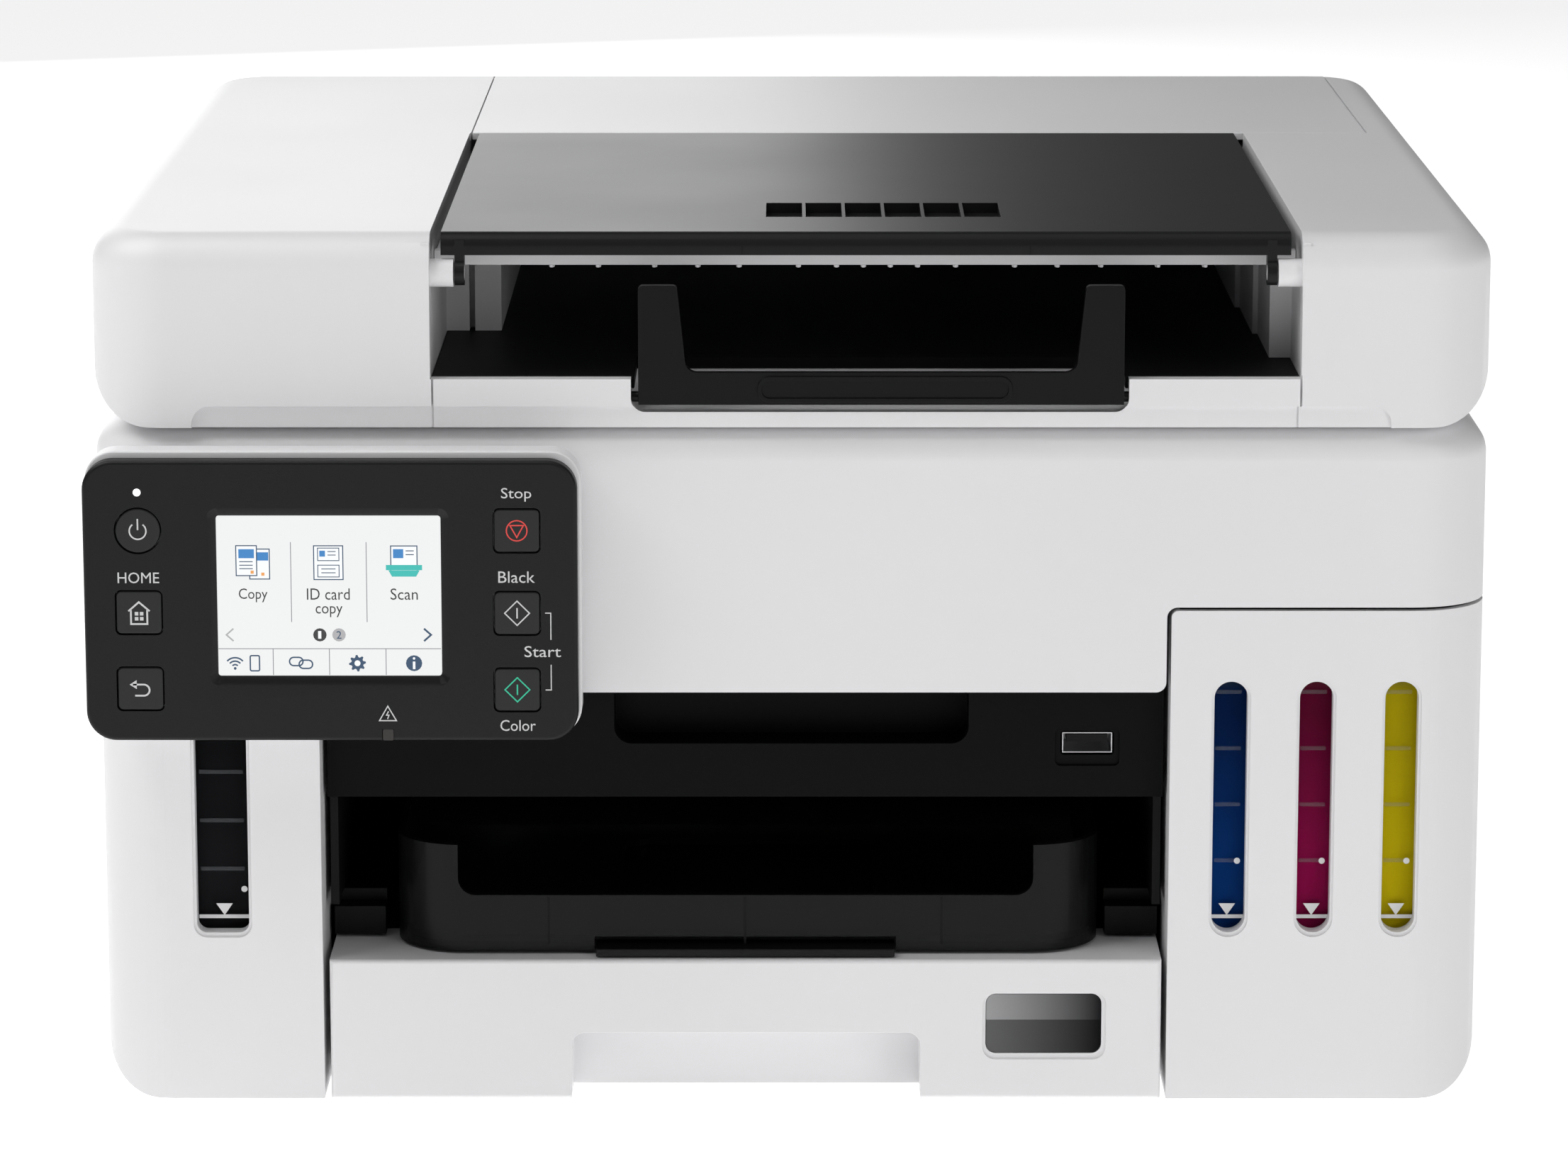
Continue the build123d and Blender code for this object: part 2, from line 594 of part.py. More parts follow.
with BuildPart() as scanner_housing:
    body_plan((scanner_bottom, scanner_top))
    fillet(scanner_housing.faces().sort_by(Axis.Z)[-1].edges(), scanner_fillet)
    add(scanner_core.part, mode=Mode.SUBTRACT)
    body_plan(scanner_pan, wall - 0.5)
    block((strip_x[0], glass_x[1]), (12, 18), (scanner_pan[1], scanner_pan[1] + 3))
    with BuildSketch(Plane.XZ.offset(-body_front)) as apron:
        with BuildLine():
            Polyline(
                (apron_x[0], apron_bottom),
                (apron_x[1], apron_bottom),
                (apron_x[1], scanner_bottom),
                (apron_x[1] + 12, scanner_bottom),
                (apron_x[1] + 12, scanner_bottom + 12),
                (apron_x[0], scanner_bottom + 12),
                close=True,
            )
        make_face()
        fillet(apron.vertices().sort_by_distance((apron_x[1], apron_bottom))[0], 3.0)
        fillet(apron.vertices().sort_by_distance((apron_x[1], scanner_bottom))[0], 3.0)
    extrude(apron.sketch, amount=-wall)
    block(glass_x, glass_y, (deck_bottom - 1, scanner_top + 1), Mode.SUBTRACT)
    block(strip_x, glass_y, (deck_bottom - 1, scanner_top + 1), Mode.SUBTRACT)
    rear_relief_z = shoulder_top + 1.4
    block((-half_width, half_width), (shoulder_front - 1, rear + 1), (0, rear_relief_z), Mode.SUBTRACT)
    # knuckles that turn on the rear cover's pins
    for start in scanner_knuckle_x:
        own_x = (start - knuckle_length + 0.3, start + 2 * knuckle_length - 0.3)
        gap_x = (start - 0.3, start + knuckle_length + 0.3)
        block(own_x, (rear - wall, rear), (scanner_hinge[1], rear_relief_z + 3))
        rod_x(own_x, scanner_hinge[0], scanner_hinge[1], knuckle_radius)
        rod_x(gap_x, scanner_hinge[0], scanner_hinge[1], knuckle_radius + 0.4, Mode.SUBTRACT)
        pin_bore(start, scanner_hinge, slim_pin)
    # lugs with pins for the lid, and arms with pins for the operation panel
    for start in lid_knuckle_x:
        lug_x = (start, start + knuckle_length)
        block(lug_x, (lid_hinge[0] - 1.8, lid_hinge[0] + 1.8), (scanner_top - 10, lid_hinge[1]))
        knuckle(start, lid_hinge, 1.8, hinge_pin)
    for start in panel_arm_x:
        arm_x = (start, start + knuckle_length)
        block(arm_x, (panel_hinge[0], body_front + 1.4), (panel_hinge[1] - 1.4, panel_hinge[1] + 1.4))
        knuckle(start, panel_hinge, 2.6, hinge_pin)
finish(scanner_housing, "scanner_housing")

with BuildPart() as platen_glass:
    glass_z = (deck_bottom - 3, deck_bottom)
    block((glass_x[0] - 4, glass_x[1] + 5), (glass_y[0] - 5, glass_y[1] + 5), glass_z)
    block((strip_x[0] - 4, strip_x[1] + 4), (glass_y[0] - 5, glass_y[1] + 5), glass_z)
finish(platen_glass, "platen_glass")

with BuildPart() as scan_bar:
    bar_x = (-180.0, -164.0)
    block(bar_x, (glass_y[0] - 3, glass_y[1] + 3), (178, 191.6))
    block((bar_x[0] + 6, bar_x[0] + 9), (glass_y[0], glass_y[1]), (191, 192), Mode.SUBTRACT)
finish(scan_bar, "scan_bar")

# ---------------------------------------------------------------- operation panel
panel_x = (-half_width, -60.3)
panel_z = (112.4, 193.0)
panel_back = body_front - 1.2
panel_seam = -200.2
panel_corner = 8.5
screen_x = (-162.0, -98.9)
screen_z = (131.0, 177.0)
screen_surround = 2.6
button_front = panel_front + 0.3
button_back = -201.4
square_half = (6.45, 6.2)
power_radius = 6.4
power_place = (-183.9, 173.0)
button_places = {
    "home_button": (-184.0, 149.5),
    "back_button": (-184.0, 127.5),
    "stop_button": (-77.3, 173.0),
    "mono_start_button": (-77.4, 149.3),
    "color_start_button": (-77.5, 127.2),
}

with BuildPart() as panel_housing:
    housing_x = (panel_x[0] + 0.3, panel_x[1] + 0.9)
    housing_z = (panel_z[0] + 0.4, panel_z[1] + 1.9)
    front_block(housing_x, (panel_seam + 0.1, panel_back), housing_z, panel_corner)
    top_back = panel_housing.edges().group_by(Axis.Y)[-1].filter_by(Axis.X).sort_by(Axis.Z)[-1]
    chamfer(top_back, 3.6)
    inside_x = (housing_x[0] + wall, housing_x[1] - wall)
    inside_z = (housing_z[0] + wall, housing_z[1] - 4)
    front_block(inside_x, (panel_seam, panel_back - wall), inside_z, 5.0, Mode.SUBTRACT)
    for start in panel_arm_x:
        boss_x = (start - 6, start + knuckle_length + 6)
        block(boss_x, (panel_hinge[0] - 4, panel_back - wall), (panel_hinge[1] - 4, inside_z[1]))
        slot_x = (start - 0.4, start + knuckle_length + 0.4)
        rod_x(slot_x, panel_hinge[0], panel_hinge[1], 3.6, Mode.SUBTRACT)
        pin_bore(start, panel_hinge, hinge_pin)
finish(panel_housing, "panel_housing")

with BuildPart() as panel_face:
    front_block(panel_x, (panel_front, panel_seam), panel_z, panel_corner)
    fillet(panel_face.edges().group_by(Axis.Y)[0], 1.2)
    well_x = (screen_x[0] - screen_surround, screen_x[1] + screen_surround)
    well_z = (screen_z[0] - screen_surround, screen_z[1] + screen_surround)
    with BuildSketch(Plane.XZ.offset(-panel_front)) as well_mouth:
        with Locations((sum(well_x) / 2, sum(well_z) / 2)):
            RectangleRounded(well_x[1] - well_x[0], well_z[1] - well_z[0], 3.0)
    with BuildSketch(Plane.XZ.offset(-panel_front - 1.6)) as well_floor:
        with Locations((sum(screen_x) / 2, sum(screen_z) / 2)):
            RectangleRounded(screen_x[1] - screen_x[0] + 0.4, screen_z[1] - screen_z[0] + 0.4, 1.0)
    loft([well_mouth.sketch, well_floor.sketch], mode=Mode.SUBTRACT)
    glass_y_range = (panel_front + 1.5, panel_seam + 1)
    seat_x = (screen_x[0] - 0.1, screen_x[1] + 0.1)
    seat_z = (screen_z[0] - 0.1, screen_z[1] + 0.1)
    front_block(seat_x, glass_y_range, seat_z, 0.9, Mode.SUBTRACT)
    through = (panel_front - 1, panel_seam + 1)
    rod_y(power_place[0], through, power_place[1], power_radius + fit_gap, Mode.SUBTRACT)
    for place_x, place_z in button_places.values():
        hole_x = (place_x - square_half[0] - fit_gap, place_x + square_half[0] + fit_gap)
        hole_z = (place_z - square_half[1] - fit_gap, place_z + square_half[1] + fit_gap)
        front_block(hole_x, through, hole_z, 1.8, Mode.SUBTRACT)
    alarm_x = -114.2
    lamp_notch_x = (alarm_x - 1.7, alarm_x + 1.7)
    block(lamp_notch_x, (panel_front - 1, panel_front + 1.2), (100, 115.8), Mode.SUBTRACT)
finish(panel_face, "panel_face")

with BuildPart() as touch_screen:
    front_block(screen_x, (panel_front + 1.6, panel_seam - 0.2), screen_z, 0.8)
finish(touch_screen, "touch_screen")

with BuildPart() as power_button:
    rod_y(power_place[0], (button_front, button_back), power_place[1], power_radius)
    fillet(power_button.edges().group_by(Axis.Y)[0], 0.5)
finish(power_button, "power_button")

for button_name, (place_x, place_z) in button_places.items():
    with BuildPart() as square_button:
        cap_x = (place_x - square_half[0], place_x + square_half[0])
        cap_z = (place_z - square_half[1], place_z + square_half[1])
        front_block(cap_x, (button_front, button_back), cap_z, 1.5)
        fillet(square_button.edges().group_by(Axis.Y)[0], 0.5)
    finish(square_button, button_name)

# ---------------------------------------------------------------- document feeder lid
lid_fillet = 10.0
lid_belly = 17.0
lid_pan = (201.0, 203.4)
opening_x = (-102.3, 144.3)
opening_rear = 42.0
deck_z = 213.0
grip_half = 170.0
band_seams = (-101.7, 143.4)
dip_x = (-45.5, 95.6)
dip_rear = -146.0
deck_thickness = 1.6
deck_front = body_front + 2 * wall + 0.2
feeder_x = (-101.6, 183.6)
feeder_y = (42.4, 196.0)
pickup_y = 72.0
pickup_z = 236.0
pickup_journal = 3.0
tray_pivot = (-180.0, 242.6)
tray_pin_radius = 2.2
tray_boss_radius = 4.0
left_lug_x = (-95.3, -92.5)
right_lug_x = (134.5, 137.3)
left_ledge_x = -86.0
right_ledges = ((138.0, -149.0, -106.0), (136.5, -106.0, -56.0), (135.0, -56.0, 42.0))
ledge_top = 240.0
stopper_pivot_y = -183.2
stopper_pivot_z = 207.6
stopper_pin_radius = 1.5

with BuildPart() as lid_core:
    body_plan((lid_pan[1], lid_top - wall), wall)
    fillet(lid_core.faces().sort_by(Axis.Z)[-1].edges(), lid_fillet - wall)
    side_profile((lid_pan[1], 400), lid_belly, wall)

with BuildPart() as lid_frame:
    body_plan((lid_bottom, lid_top))
    fillet(lid_frame.faces().sort_by(Axis.Z)[-1].edges(), lid_fillet)
    side_profile((lid_bottom, 400), lid_belly)
    add(lid_core.part, mode=Mode.SUBTRACT)
    # hollow under the pan, so that a skirt runs round the pressure pad
    block((-178, 178), (body_front + 8, rear - 8), (lid_bottom - 1, lid_pan[0]), Mode.SUBTRACT)
    block((-150, 135), (-85, 115), (lid_pan[0] - 1, lid_pan[1] + 1), Mode.SUBTRACT)
    # side walls and back wall of the document opening
    for wall_x in (opening_x[0] - wall, opening_x[1]):
        block((wall_x, wall_x + wall), (body_front + wall, feeder_y[1] + wall), (lid_pan[1], lid_top - wall))
    block(opening_x, (opening_rear, opening_rear + wall), (lid_pan[1], 240))
    # front beam under the opening and the pocket that the stopper folds into
    block(opening_x, (body_front + wall, body_front + 2 * wall), (lid_pan[1], deck_z))
    pocket_x = (dip_x[0] - wall, dip_x[1] + wall)
    block(pocket_x, (body_front + 2 * wall, dip_rear + wall), (lid_pan[1], deck_z - deck_thickness - 0.1))
    block(opening_x, (body_front - 1, opening_rear), (deck_z, lid_top + 1), Mode.SUBTRACT)
    front_block(dip_x, (body_front - 1, dip_rear), (lid_pan[1], deck_z + 20), 4.0, Mode.SUBTRACT)
    # finger groove along the lower front edge
    front_block((-grip_half, grip_half), (body_front - 1, body_front + 1.2), (190, 205.2), 5.0, Mode.SUBTRACT)
    for seam_x in band_seams:
        block((seam_x - 0.3, seam_x + 0.3), (body_front - 1, body_front + 1.7), (190, 205.2), Mode.SUBTRACT)
    for seam_x in (band_seams[0], opening_x[1]):
        block((seam_x - 0.3, seam_x + 0.3), (body_front - 1, body_front + 1.7), (205, deck_z + 1), Mode.SUBTRACT)
    # white ledges that stand on both sides of the deck, the left one with a slit
    deck_clear = deck_z + 0.1
    block((opening_x[0] - 1, left_ledge_x), (-100, opening_rear + 1), (deck_clear, ledge_top))
    block((-95.5, -93.8), (-101, -94), (deck_clear - 1, 234), Mode.SUBTRACT)
    for ledge_x, ledge_front, ledge_rear in right_ledges:
        block((ledge_x, opening_x[1] + 1), (ledge_front, ledge_rear + 1), (deck_clear, ledge_top))
    # opening under the feeder cover
    ledge = 0.4
    cover_hole_x = (feeder_x[0] - ledge, feeder_x[1] + ledge)
    block(cover_hole_x, (opening_rear, feeder_y[1] + ledge), (lid_top - 2 * wall, lid_top + 1), Mode.SUBTRACT)
    # pins and bearings
    for boss_x in ((opening_x[0] - 1, left_lug_x[0] - 0.3), (right_lug_x[1] + 0.3, opening_x[1] + 1)):
        rod_x(boss_x, *tray_pivot, tray_boss_radius)
    rod_x((opening_x[0], left_lug_x[1]), *tray_pivot, tray_pin_radius)
    rod_x((right_lug_x[0], opening_x[1]), *tray_pivot, tray_pin_radius)
    shaft_x = (opening_x[0] - 5, opening_x[1] + 5)
    rod_x(shaft_x, pickup_y, pickup_z, pickup_journal + running_gap, Mode.SUBTRACT)
    pivot_x = (dip_x[0] - 1.8, dip_x[1] + 1.8)
    rod_x(pivot_x, stopper_pivot_y, stopper_pivot_z, stopper_pin_radius + running_gap, Mode.SUBTRACT)
    for start in lid_knuckle_x:
        notch_x = (start - 0.3, start + knuckle_length + 0.3)
        block(notch_x, (rear - 7, rear + 1), (lid_bottom - 1, lid_hinge[1] + 2.7), Mode.SUBTRACT)
        pin_bore(start, lid_hinge, hinge_pin)
    cover_pin_x = (feeder_x[0] - 2.4, feeder_x[1] + 2.4)
    rod_x(cover_pin_x, *feeder_cover_hinge, slim_pin + running_gap, Mode.SUBTRACT)
finish(lid_frame, "lid_frame")

skirt = 0.8
skirt_bottom = 209.5
with BuildPart() as document_deck:
    deck_x = (opening_x[0] + 0.1, opening_x[1] - 0.1)
    block(deck_x, (deck_front, opening_rear - 0.2), (deck_z - deck_thickness, deck_z))
    # skirt that lines the stopper's pocket
    skirt_x = (dip_x[0] + 0.1, dip_x[1] - 0.1)
    block(skirt_x, (deck_front, dip_rear - 0.1), (skirt_bottom, deck_z))
    pocket_x = (skirt_x[0] + skirt, skirt_x[1] - skirt)
    block(pocket_x, (body_front, dip_rear - 0.1 - skirt), (skirt_bottom - 1, deck_z + 1), Mode.SUBTRACT)
finish(document_deck, "document_deck")

document_tray_x = (opening_x[0] + 0.2, opening_x[1] - 0.2)
exit_ribs = (
    -68.6, -55.3, -39.2, -26.8, -15.0, 2.0, 12.9, 20.6, 28.3, 36.1, 47.0, 63.9, 76.1, 88.6, 104.9, 118.4,
)
tray_lip_bottom = 242.1
with BuildPart() as document_tray:
    block(document_tray_x, (-162, opening_rear - 0.2), (243.0, 245.0))
    block(document_tray_x, (-162, -159), (tray_lip_bottom, 246.4))
    for rib_x in exit_ribs:
        block((rib_x - 0.45, rib_x + 0.45), (-161.8, -152), (tray_lip_bottom - 0.8, 243.0))
        block((rib_x - 0.75, rib_x + 0.75), (-159, 30), (241.0, 243.0))
finish(document_tray, "document_tray")

guide_span = 108.6
for side, name in ((-1, "left_document_guide"), (1, "right_document_guide")):
    with BuildPart() as document_guide:
        upright = sorted((feed_centre + side * guide_span, feed_centre + side * (guide_span + 2.4)))
        block(upright, (-110, 30), (245.2, 249.4))
        foot = sorted((feed_centre + side * (guide_span - 12), feed_centre + side * (guide_span + 2.4)))
        block(foot, (-30, 10), (245.2, 246.4))
    finish(document_guide, name)

cover_x = (-99.2, 141.2)
cover_front = -181.0
cover_skin = 2.2
cover_bottom = 247.7
cover_grip_x = (-9.0, 62.0)
cover_grip_y = (-150.0, -118.0)
with BuildPart() as document_tray_cover:
    block(cover_x, (cover_front, opening_rear - 0.6), (cover_bottom, lid_top))
    top_front = document_tray_cover.edges().filter_by(Axis.X).group_by(Axis.Y)[0].sort_by(Axis.Z)[-1]
    fillet(top_front, 4.0)
    under_x = (cover_x[0] + cover_skin, cover_x[1] - cover_skin)
    under_y = (cover_front + cover_skin, opening_rear + 1)
    block(under_x, under_y, (cover_bottom - 1, lid_top - cover_skin), Mode.SUBTRACT)
    for lug_x in (left_lug_x, right_lug_x):
        block(lug_x, (cover_front, cover_front + 4), (tray_pivot[1], lid_top - 2))
        rod_x(lug_x, *tray_pivot, tray_boss_radius - 0.4)
    plan_block(cover_grip_x, cover_grip_y, (249.8, lid_top - cover_skin), 4.0)
    cell = (cover_grip_x[1] - cover_grip_x[0] - 2.4) / 6
    cell_y = (cover_grip_y[0] + 1.4, cover_grip_y[1] - 1.4)
    for index in range(6):
        cell_x = cover_grip_x[0] + 1.2 + index * cell
        block((cell_x + 0.5, cell_x + cell - 0.5), cell_y, (251.0, 256), Mode.SUBTRACT)
    for lug_x in (left_lug_x, right_lug_x):
        bore_x = (lug_x[0] - 0.1, lug_x[1] + 0.1)
        rod_x(bore_x, *tray_pivot, tray_pin_radius + running_gap, Mode.SUBTRACT)
finish(document_tray_cover, "document_tray_cover")

with BuildPart() as feeder_cover:
    block(feeder_x, feeder_y, (lid_top - wall, lid_top))
    fillet(feeder_cover.edges().filter_by(Axis.X).group_by(Axis.Y)[-1], 0.9)
    skirt_x = (feeder_x[0] + 4, opening_x[1] - 4)
    block(skirt_x, (feeder_y[0] + 2, feeder_y[0] + 4), (lid_top - 8, lid_top - wall))
    rod_x((feeder_x[0] - 2, feeder_x[1] + 2), *feeder_cover_hinge, slim_pin)
finish(feeder_cover, "feeder_cover")

with BuildPart() as pickup_roller:
    rod_x((opening_x[0] - wall - 1, opening_x[1] + wall + 1), pickup_y, pickup_z, pickup_journal)
    rod_x((feed_centre - 18, feed_centre + 18), pickup_y, pickup_z, 9)
    for ring_x in (-62, 84):
        rod_x((ring_x, ring_x + 16), pickup_y, pickup_z, 6)
finish(pickup_roller, "pickup_roller")

stopper_x = (-43.4, 94.2)
stopper_top = 239.7
stopper_waist = 214.9
stopper_z = (205.6, stopper_top)
arm_top = 11.0
arm_foot = 13.6
stopper_grip_x = (-9.6, 62.6)
with BuildPart() as document_stopper:
    with BuildSketch(Plane.XZ.offset(185.8)) as stopper_face:
        with BuildLine():
            Polyline(
                (stopper_x[0], stopper_z[0]),
                (stopper_x[1], stopper_z[0]),
                (stopper_x[1], stopper_top),
                (stopper_x[1] - arm_top, stopper_top),
                (stopper_x[1] - arm_foot, stopper_waist),
                (stopper_x[0] + arm_foot, stopper_waist),
                (stopper_x[0] + arm_top, stopper_top),
                (stopper_x[0], stopper_top),
                close=True,
            )
        make_face()
        crowns = stopper_face.vertices().group_by(Axis.Y)[-1]
        fillet(crowns, 1.4)
        waists = stopper_face.vertices().filter_by_position(Axis.Y, stopper_waist - 0.1, stopper_waist + 0.1)
        fillet(waists, 3.4)
    extrude(stopper_face.sketch, amount=-2.8)
    rod_x((stopper_x[0] - 3, stopper_x[1] + 3), stopper_pivot_y, stopper_pivot_z, stopper_pin_radius)
    # raised rim for a finger tip
    front_block(stopper_grip_x, (-186.6, -185.8), (206.4, 213.8), 3.4)
    rim_inside_x = (stopper_grip_x[0] + 1.2, stopper_grip_x[1] - 1.2)
    front_block(rim_inside_x, (-187, -185.8), (207.6, 212.6), 2.2, Mode.SUBTRACT)
finish(document_stopper, "document_stopper")

with BuildPart() as pressure_pad:
    block((-165, 150), (-100, 130), (lid_bottom + 0.2, lid_pan[0]))
finish(pressure_pad, "pressure_pad")

print(len(os.listdir("parts")), "pieces written")
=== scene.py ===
import json
import math
import bmesh
import bpy
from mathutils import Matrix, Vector


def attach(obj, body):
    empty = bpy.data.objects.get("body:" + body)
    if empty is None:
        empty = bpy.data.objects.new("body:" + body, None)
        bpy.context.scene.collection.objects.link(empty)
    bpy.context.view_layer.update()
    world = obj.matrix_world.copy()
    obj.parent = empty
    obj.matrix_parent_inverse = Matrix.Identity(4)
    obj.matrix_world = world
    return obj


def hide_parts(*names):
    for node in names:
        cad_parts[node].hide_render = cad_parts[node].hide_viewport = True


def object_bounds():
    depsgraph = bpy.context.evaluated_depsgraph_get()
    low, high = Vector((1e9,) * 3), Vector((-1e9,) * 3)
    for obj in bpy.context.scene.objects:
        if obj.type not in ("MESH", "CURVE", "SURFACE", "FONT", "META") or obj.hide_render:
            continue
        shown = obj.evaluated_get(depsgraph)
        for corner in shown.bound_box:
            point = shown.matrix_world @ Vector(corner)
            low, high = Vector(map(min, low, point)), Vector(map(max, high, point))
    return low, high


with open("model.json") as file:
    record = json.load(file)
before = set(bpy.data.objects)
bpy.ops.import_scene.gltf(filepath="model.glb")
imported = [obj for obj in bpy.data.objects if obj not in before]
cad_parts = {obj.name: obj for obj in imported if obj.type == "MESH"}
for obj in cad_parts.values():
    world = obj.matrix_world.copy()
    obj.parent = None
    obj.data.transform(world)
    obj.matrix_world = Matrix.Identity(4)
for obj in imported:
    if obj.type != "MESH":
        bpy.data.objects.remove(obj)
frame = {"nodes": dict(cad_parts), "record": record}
cad_low, cad_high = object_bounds()


# ---- Table, studio and camera ----
# The printer stands on a plain white table. A key softbox is close above its left side, one
# behind the left shoulder shows in the glossy top, and wide ones fill from above and in front.
scene = bpy.context.scene
scene.view_settings.view_transform = "Standard"


def studio_light(name, place, target, size, power):
    """Softbox that faces a point of the printer."""
    lamp = bpy.data.lights.new(name, "AREA")
    lamp.shape = "RECTANGLE"
    lamp.size, lamp.size_y = size
    lamp.energy = power
    box = bpy.data.objects.new(name, lamp)
    scene.collection.objects.link(box)
    box.location = place
    box.rotation_euler = (Vector(target) - Vector(place)).to_track_quat("-Z", "Y").to_euler()
    box.visible_camera = False


centre = (cad_low + cad_high) / 2
studio_light("left_key", (-0.7, -0.3, 1.15), centre, (0.9, 0.9), 9.5)
studio_light("shoulder_softbox", (-0.68, 2.2, 0.74), centre, (1.5, 1.4), 13)
studio_light("overhead_softbox", (0.2, -0.3, 2.2), centre, (1.6, 1.6), 6.5)
studio_light("front_softbox", (-0.3, -2.2, 1.9), centre, (2.2, 1.6), 3.5)
studio_light("right_softbox", (1.2, -1.7, 0.7), centre, (0.8, 1.2), 7)

world = bpy.data.worlds.new("white_studio")
scene.world = world
world.use_nodes = True
world.node_tree.nodes["Background"].inputs["Color"].default_value = (1, 1, 1, 1)
world.node_tree.nodes["Background"].inputs["Strength"].default_value = 0.09

table_mesh = bpy.data.meshes.new("table_top")
table_reach = 12.0
table_mesh.from_pydata(
    [(x * table_reach, y * table_reach, 0) for x, y in ((-1, -1), (1, -1), (1, 1), (-1, 1))],
    [], [(0, 1, 2, 3)])
table_top = bpy.data.objects.new("table_top", table_mesh)
scene.collection.objects.link(table_top)
table_white = bpy.data.materials.new("table_white")
table_white.use_nodes = True
table_shader = table_white.node_tree.nodes["Principled BSDF"]
table_shader.inputs["Base Color"].default_value = (0.8, 0.8, 0.8, 1)
table_shader.inputs["Roughness"].default_value = 0.9
table_shader.inputs["Specular IOR Level"].default_value = 0.0
table_shader.inputs["Emission Color"].default_value = (1, 1, 1, 1)
table_shader.inputs["Emission Strength"].default_value = 0.78
table_mesh.materials.append(table_white)

camera_pitch = 11.648
camera_data = bpy.data.cameras.new("studio_camera")
camera_data.sensor_width = 36.0
camera_data.lens = 136.57
camera_data.clip_end = 50
camera = bpy.data.objects.new("studio_camera", camera_data)
scene.collection.objects.link(camera)
camera.location = (-0.00213, -1.84609, 0.49494)
camera.rotation_euler = (math.radians(90 - camera_pitch), 0, 0)
scene.camera = camera


# ---- Chassis, feet and works ----
# A black moulded floor frame carries everything. On it stand the boxed power supply, the purge
# unit, two motors, the main board and a folded steel rail; it rests on four glued rubber feet.
MM = 0.001


def plastic(name, colour, roughness, grain_size, grain_height, coat=0.0, alpha=1.0, specular=0.5):
    """Moulded plastic with a fine grain, a slightly uneven gloss and a faint drift in tone."""
    material = bpy.data.materials.new(name)
    material.use_nodes = True
    nodes, links = material.node_tree.nodes, material.node_tree.links
    shader = nodes["Principled BSDF"]
    place = nodes.new("ShaderNodeTexCoord")
    grain = nodes.new("ShaderNodeTexNoise")
    grain.name = "grain"
    grain.inputs["Scale"].default_value = 1 / (grain_size * MM)
    grain.inputs["Detail"].default_value = 3
    links.new(place.outputs["Object"], grain.inputs["Vector"])
    bump = nodes.new("ShaderNodeBump")
    bump.name = "relief"
    bump.inputs["Strength"].default_value = 0.6
    bump.inputs["Distance"].default_value = grain_height * MM
    links.new(grain.outputs["Fac"], bump.inputs["Height"])
    links.new(bump.outputs["Normal"], shader.inputs["Normal"])
    drift = nodes.new("ShaderNodeTexNoise")
    drift.inputs["Scale"].default_value = 9
    drift.inputs["Detail"].default_value = 4
    links.new(place.outputs["Object"], drift.inputs["Vector"])
    gloss = nodes.new("ShaderNodeMapRange")
    gloss.inputs["To Min"].default_value = roughness * 0.88
    gloss.inputs["To Max"].default_value = roughness * 1.12
    links.new(drift.outputs["Fac"], gloss.inputs["Value"])
    links.new(gloss.outputs["Result"], shader.inputs["Roughness"])
    tone = nodes.new("ShaderNodeMix")
    tone.name = "tone"
    tone.data_type = "RGBA"
    tone.inputs["A"].default_value = [c * 0.975 for c in colour] + [1]
    tone.inputs["B"].default_value = [min(1, c * 1.02) for c in colour] + [1]
    links.new(drift.outputs["Fac"], tone.inputs["Factor"])
    links.new(tone.outputs["Result"], shader.inputs["Base Color"])
    shader.inputs["Specular IOR Level"].default_value = specular
    shader.inputs["Coat Weight"].default_value = coat
    shader.inputs["Coat Roughness"].default_value = 0.06
    shader.inputs["Alpha"].default_value = alpha
    return material


def metal(name, colour, roughness, streak):
    """Zinc-plated or drawn steel, with fine streaks along X and a little spangle."""
    material = plastic(name, colour, roughness, 0.8, 0.01)
    nodes, links = material.node_tree.nodes, material.node_tree.links
    nodes["Principled BSDF"].inputs["Metallic"].default_value = 1
    stretch = nodes.new("ShaderNodeMapping")
    stretch.inputs["Scale"].default_value = (1 / streak, 1, 1)
    links.new(nodes["Texture Coordinate"].outputs["Object"], stretch.inputs["Vector"])
    links.new(stretch.outputs["Vector"], nodes["grain"].inputs["Vector"])
    return material


def dress(material, *names):
    """Give CAD pieces their finish as they are."""
    for name in names:
        frame["nodes"][name].data.materials.clear()
        frame["nodes"][name].data.materials.append(material)


def settle(piece, body, slot, *names):
    """Hand a finished piece to its body, in place of the CAD pieces named; the slot argument is not used.
    """
    if piece.name not in scene.collection.objects:
        scene.collection.objects.link(piece)
    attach(piece, body)
    if names:
        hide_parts(*names)


body_of = {name: body for body, names in frame["record"]["behaviour"]["bodies"].items() for name in names}
slot_of = {row["node"]: row["material_slot"] for row in frame["record"]["subparts"]}


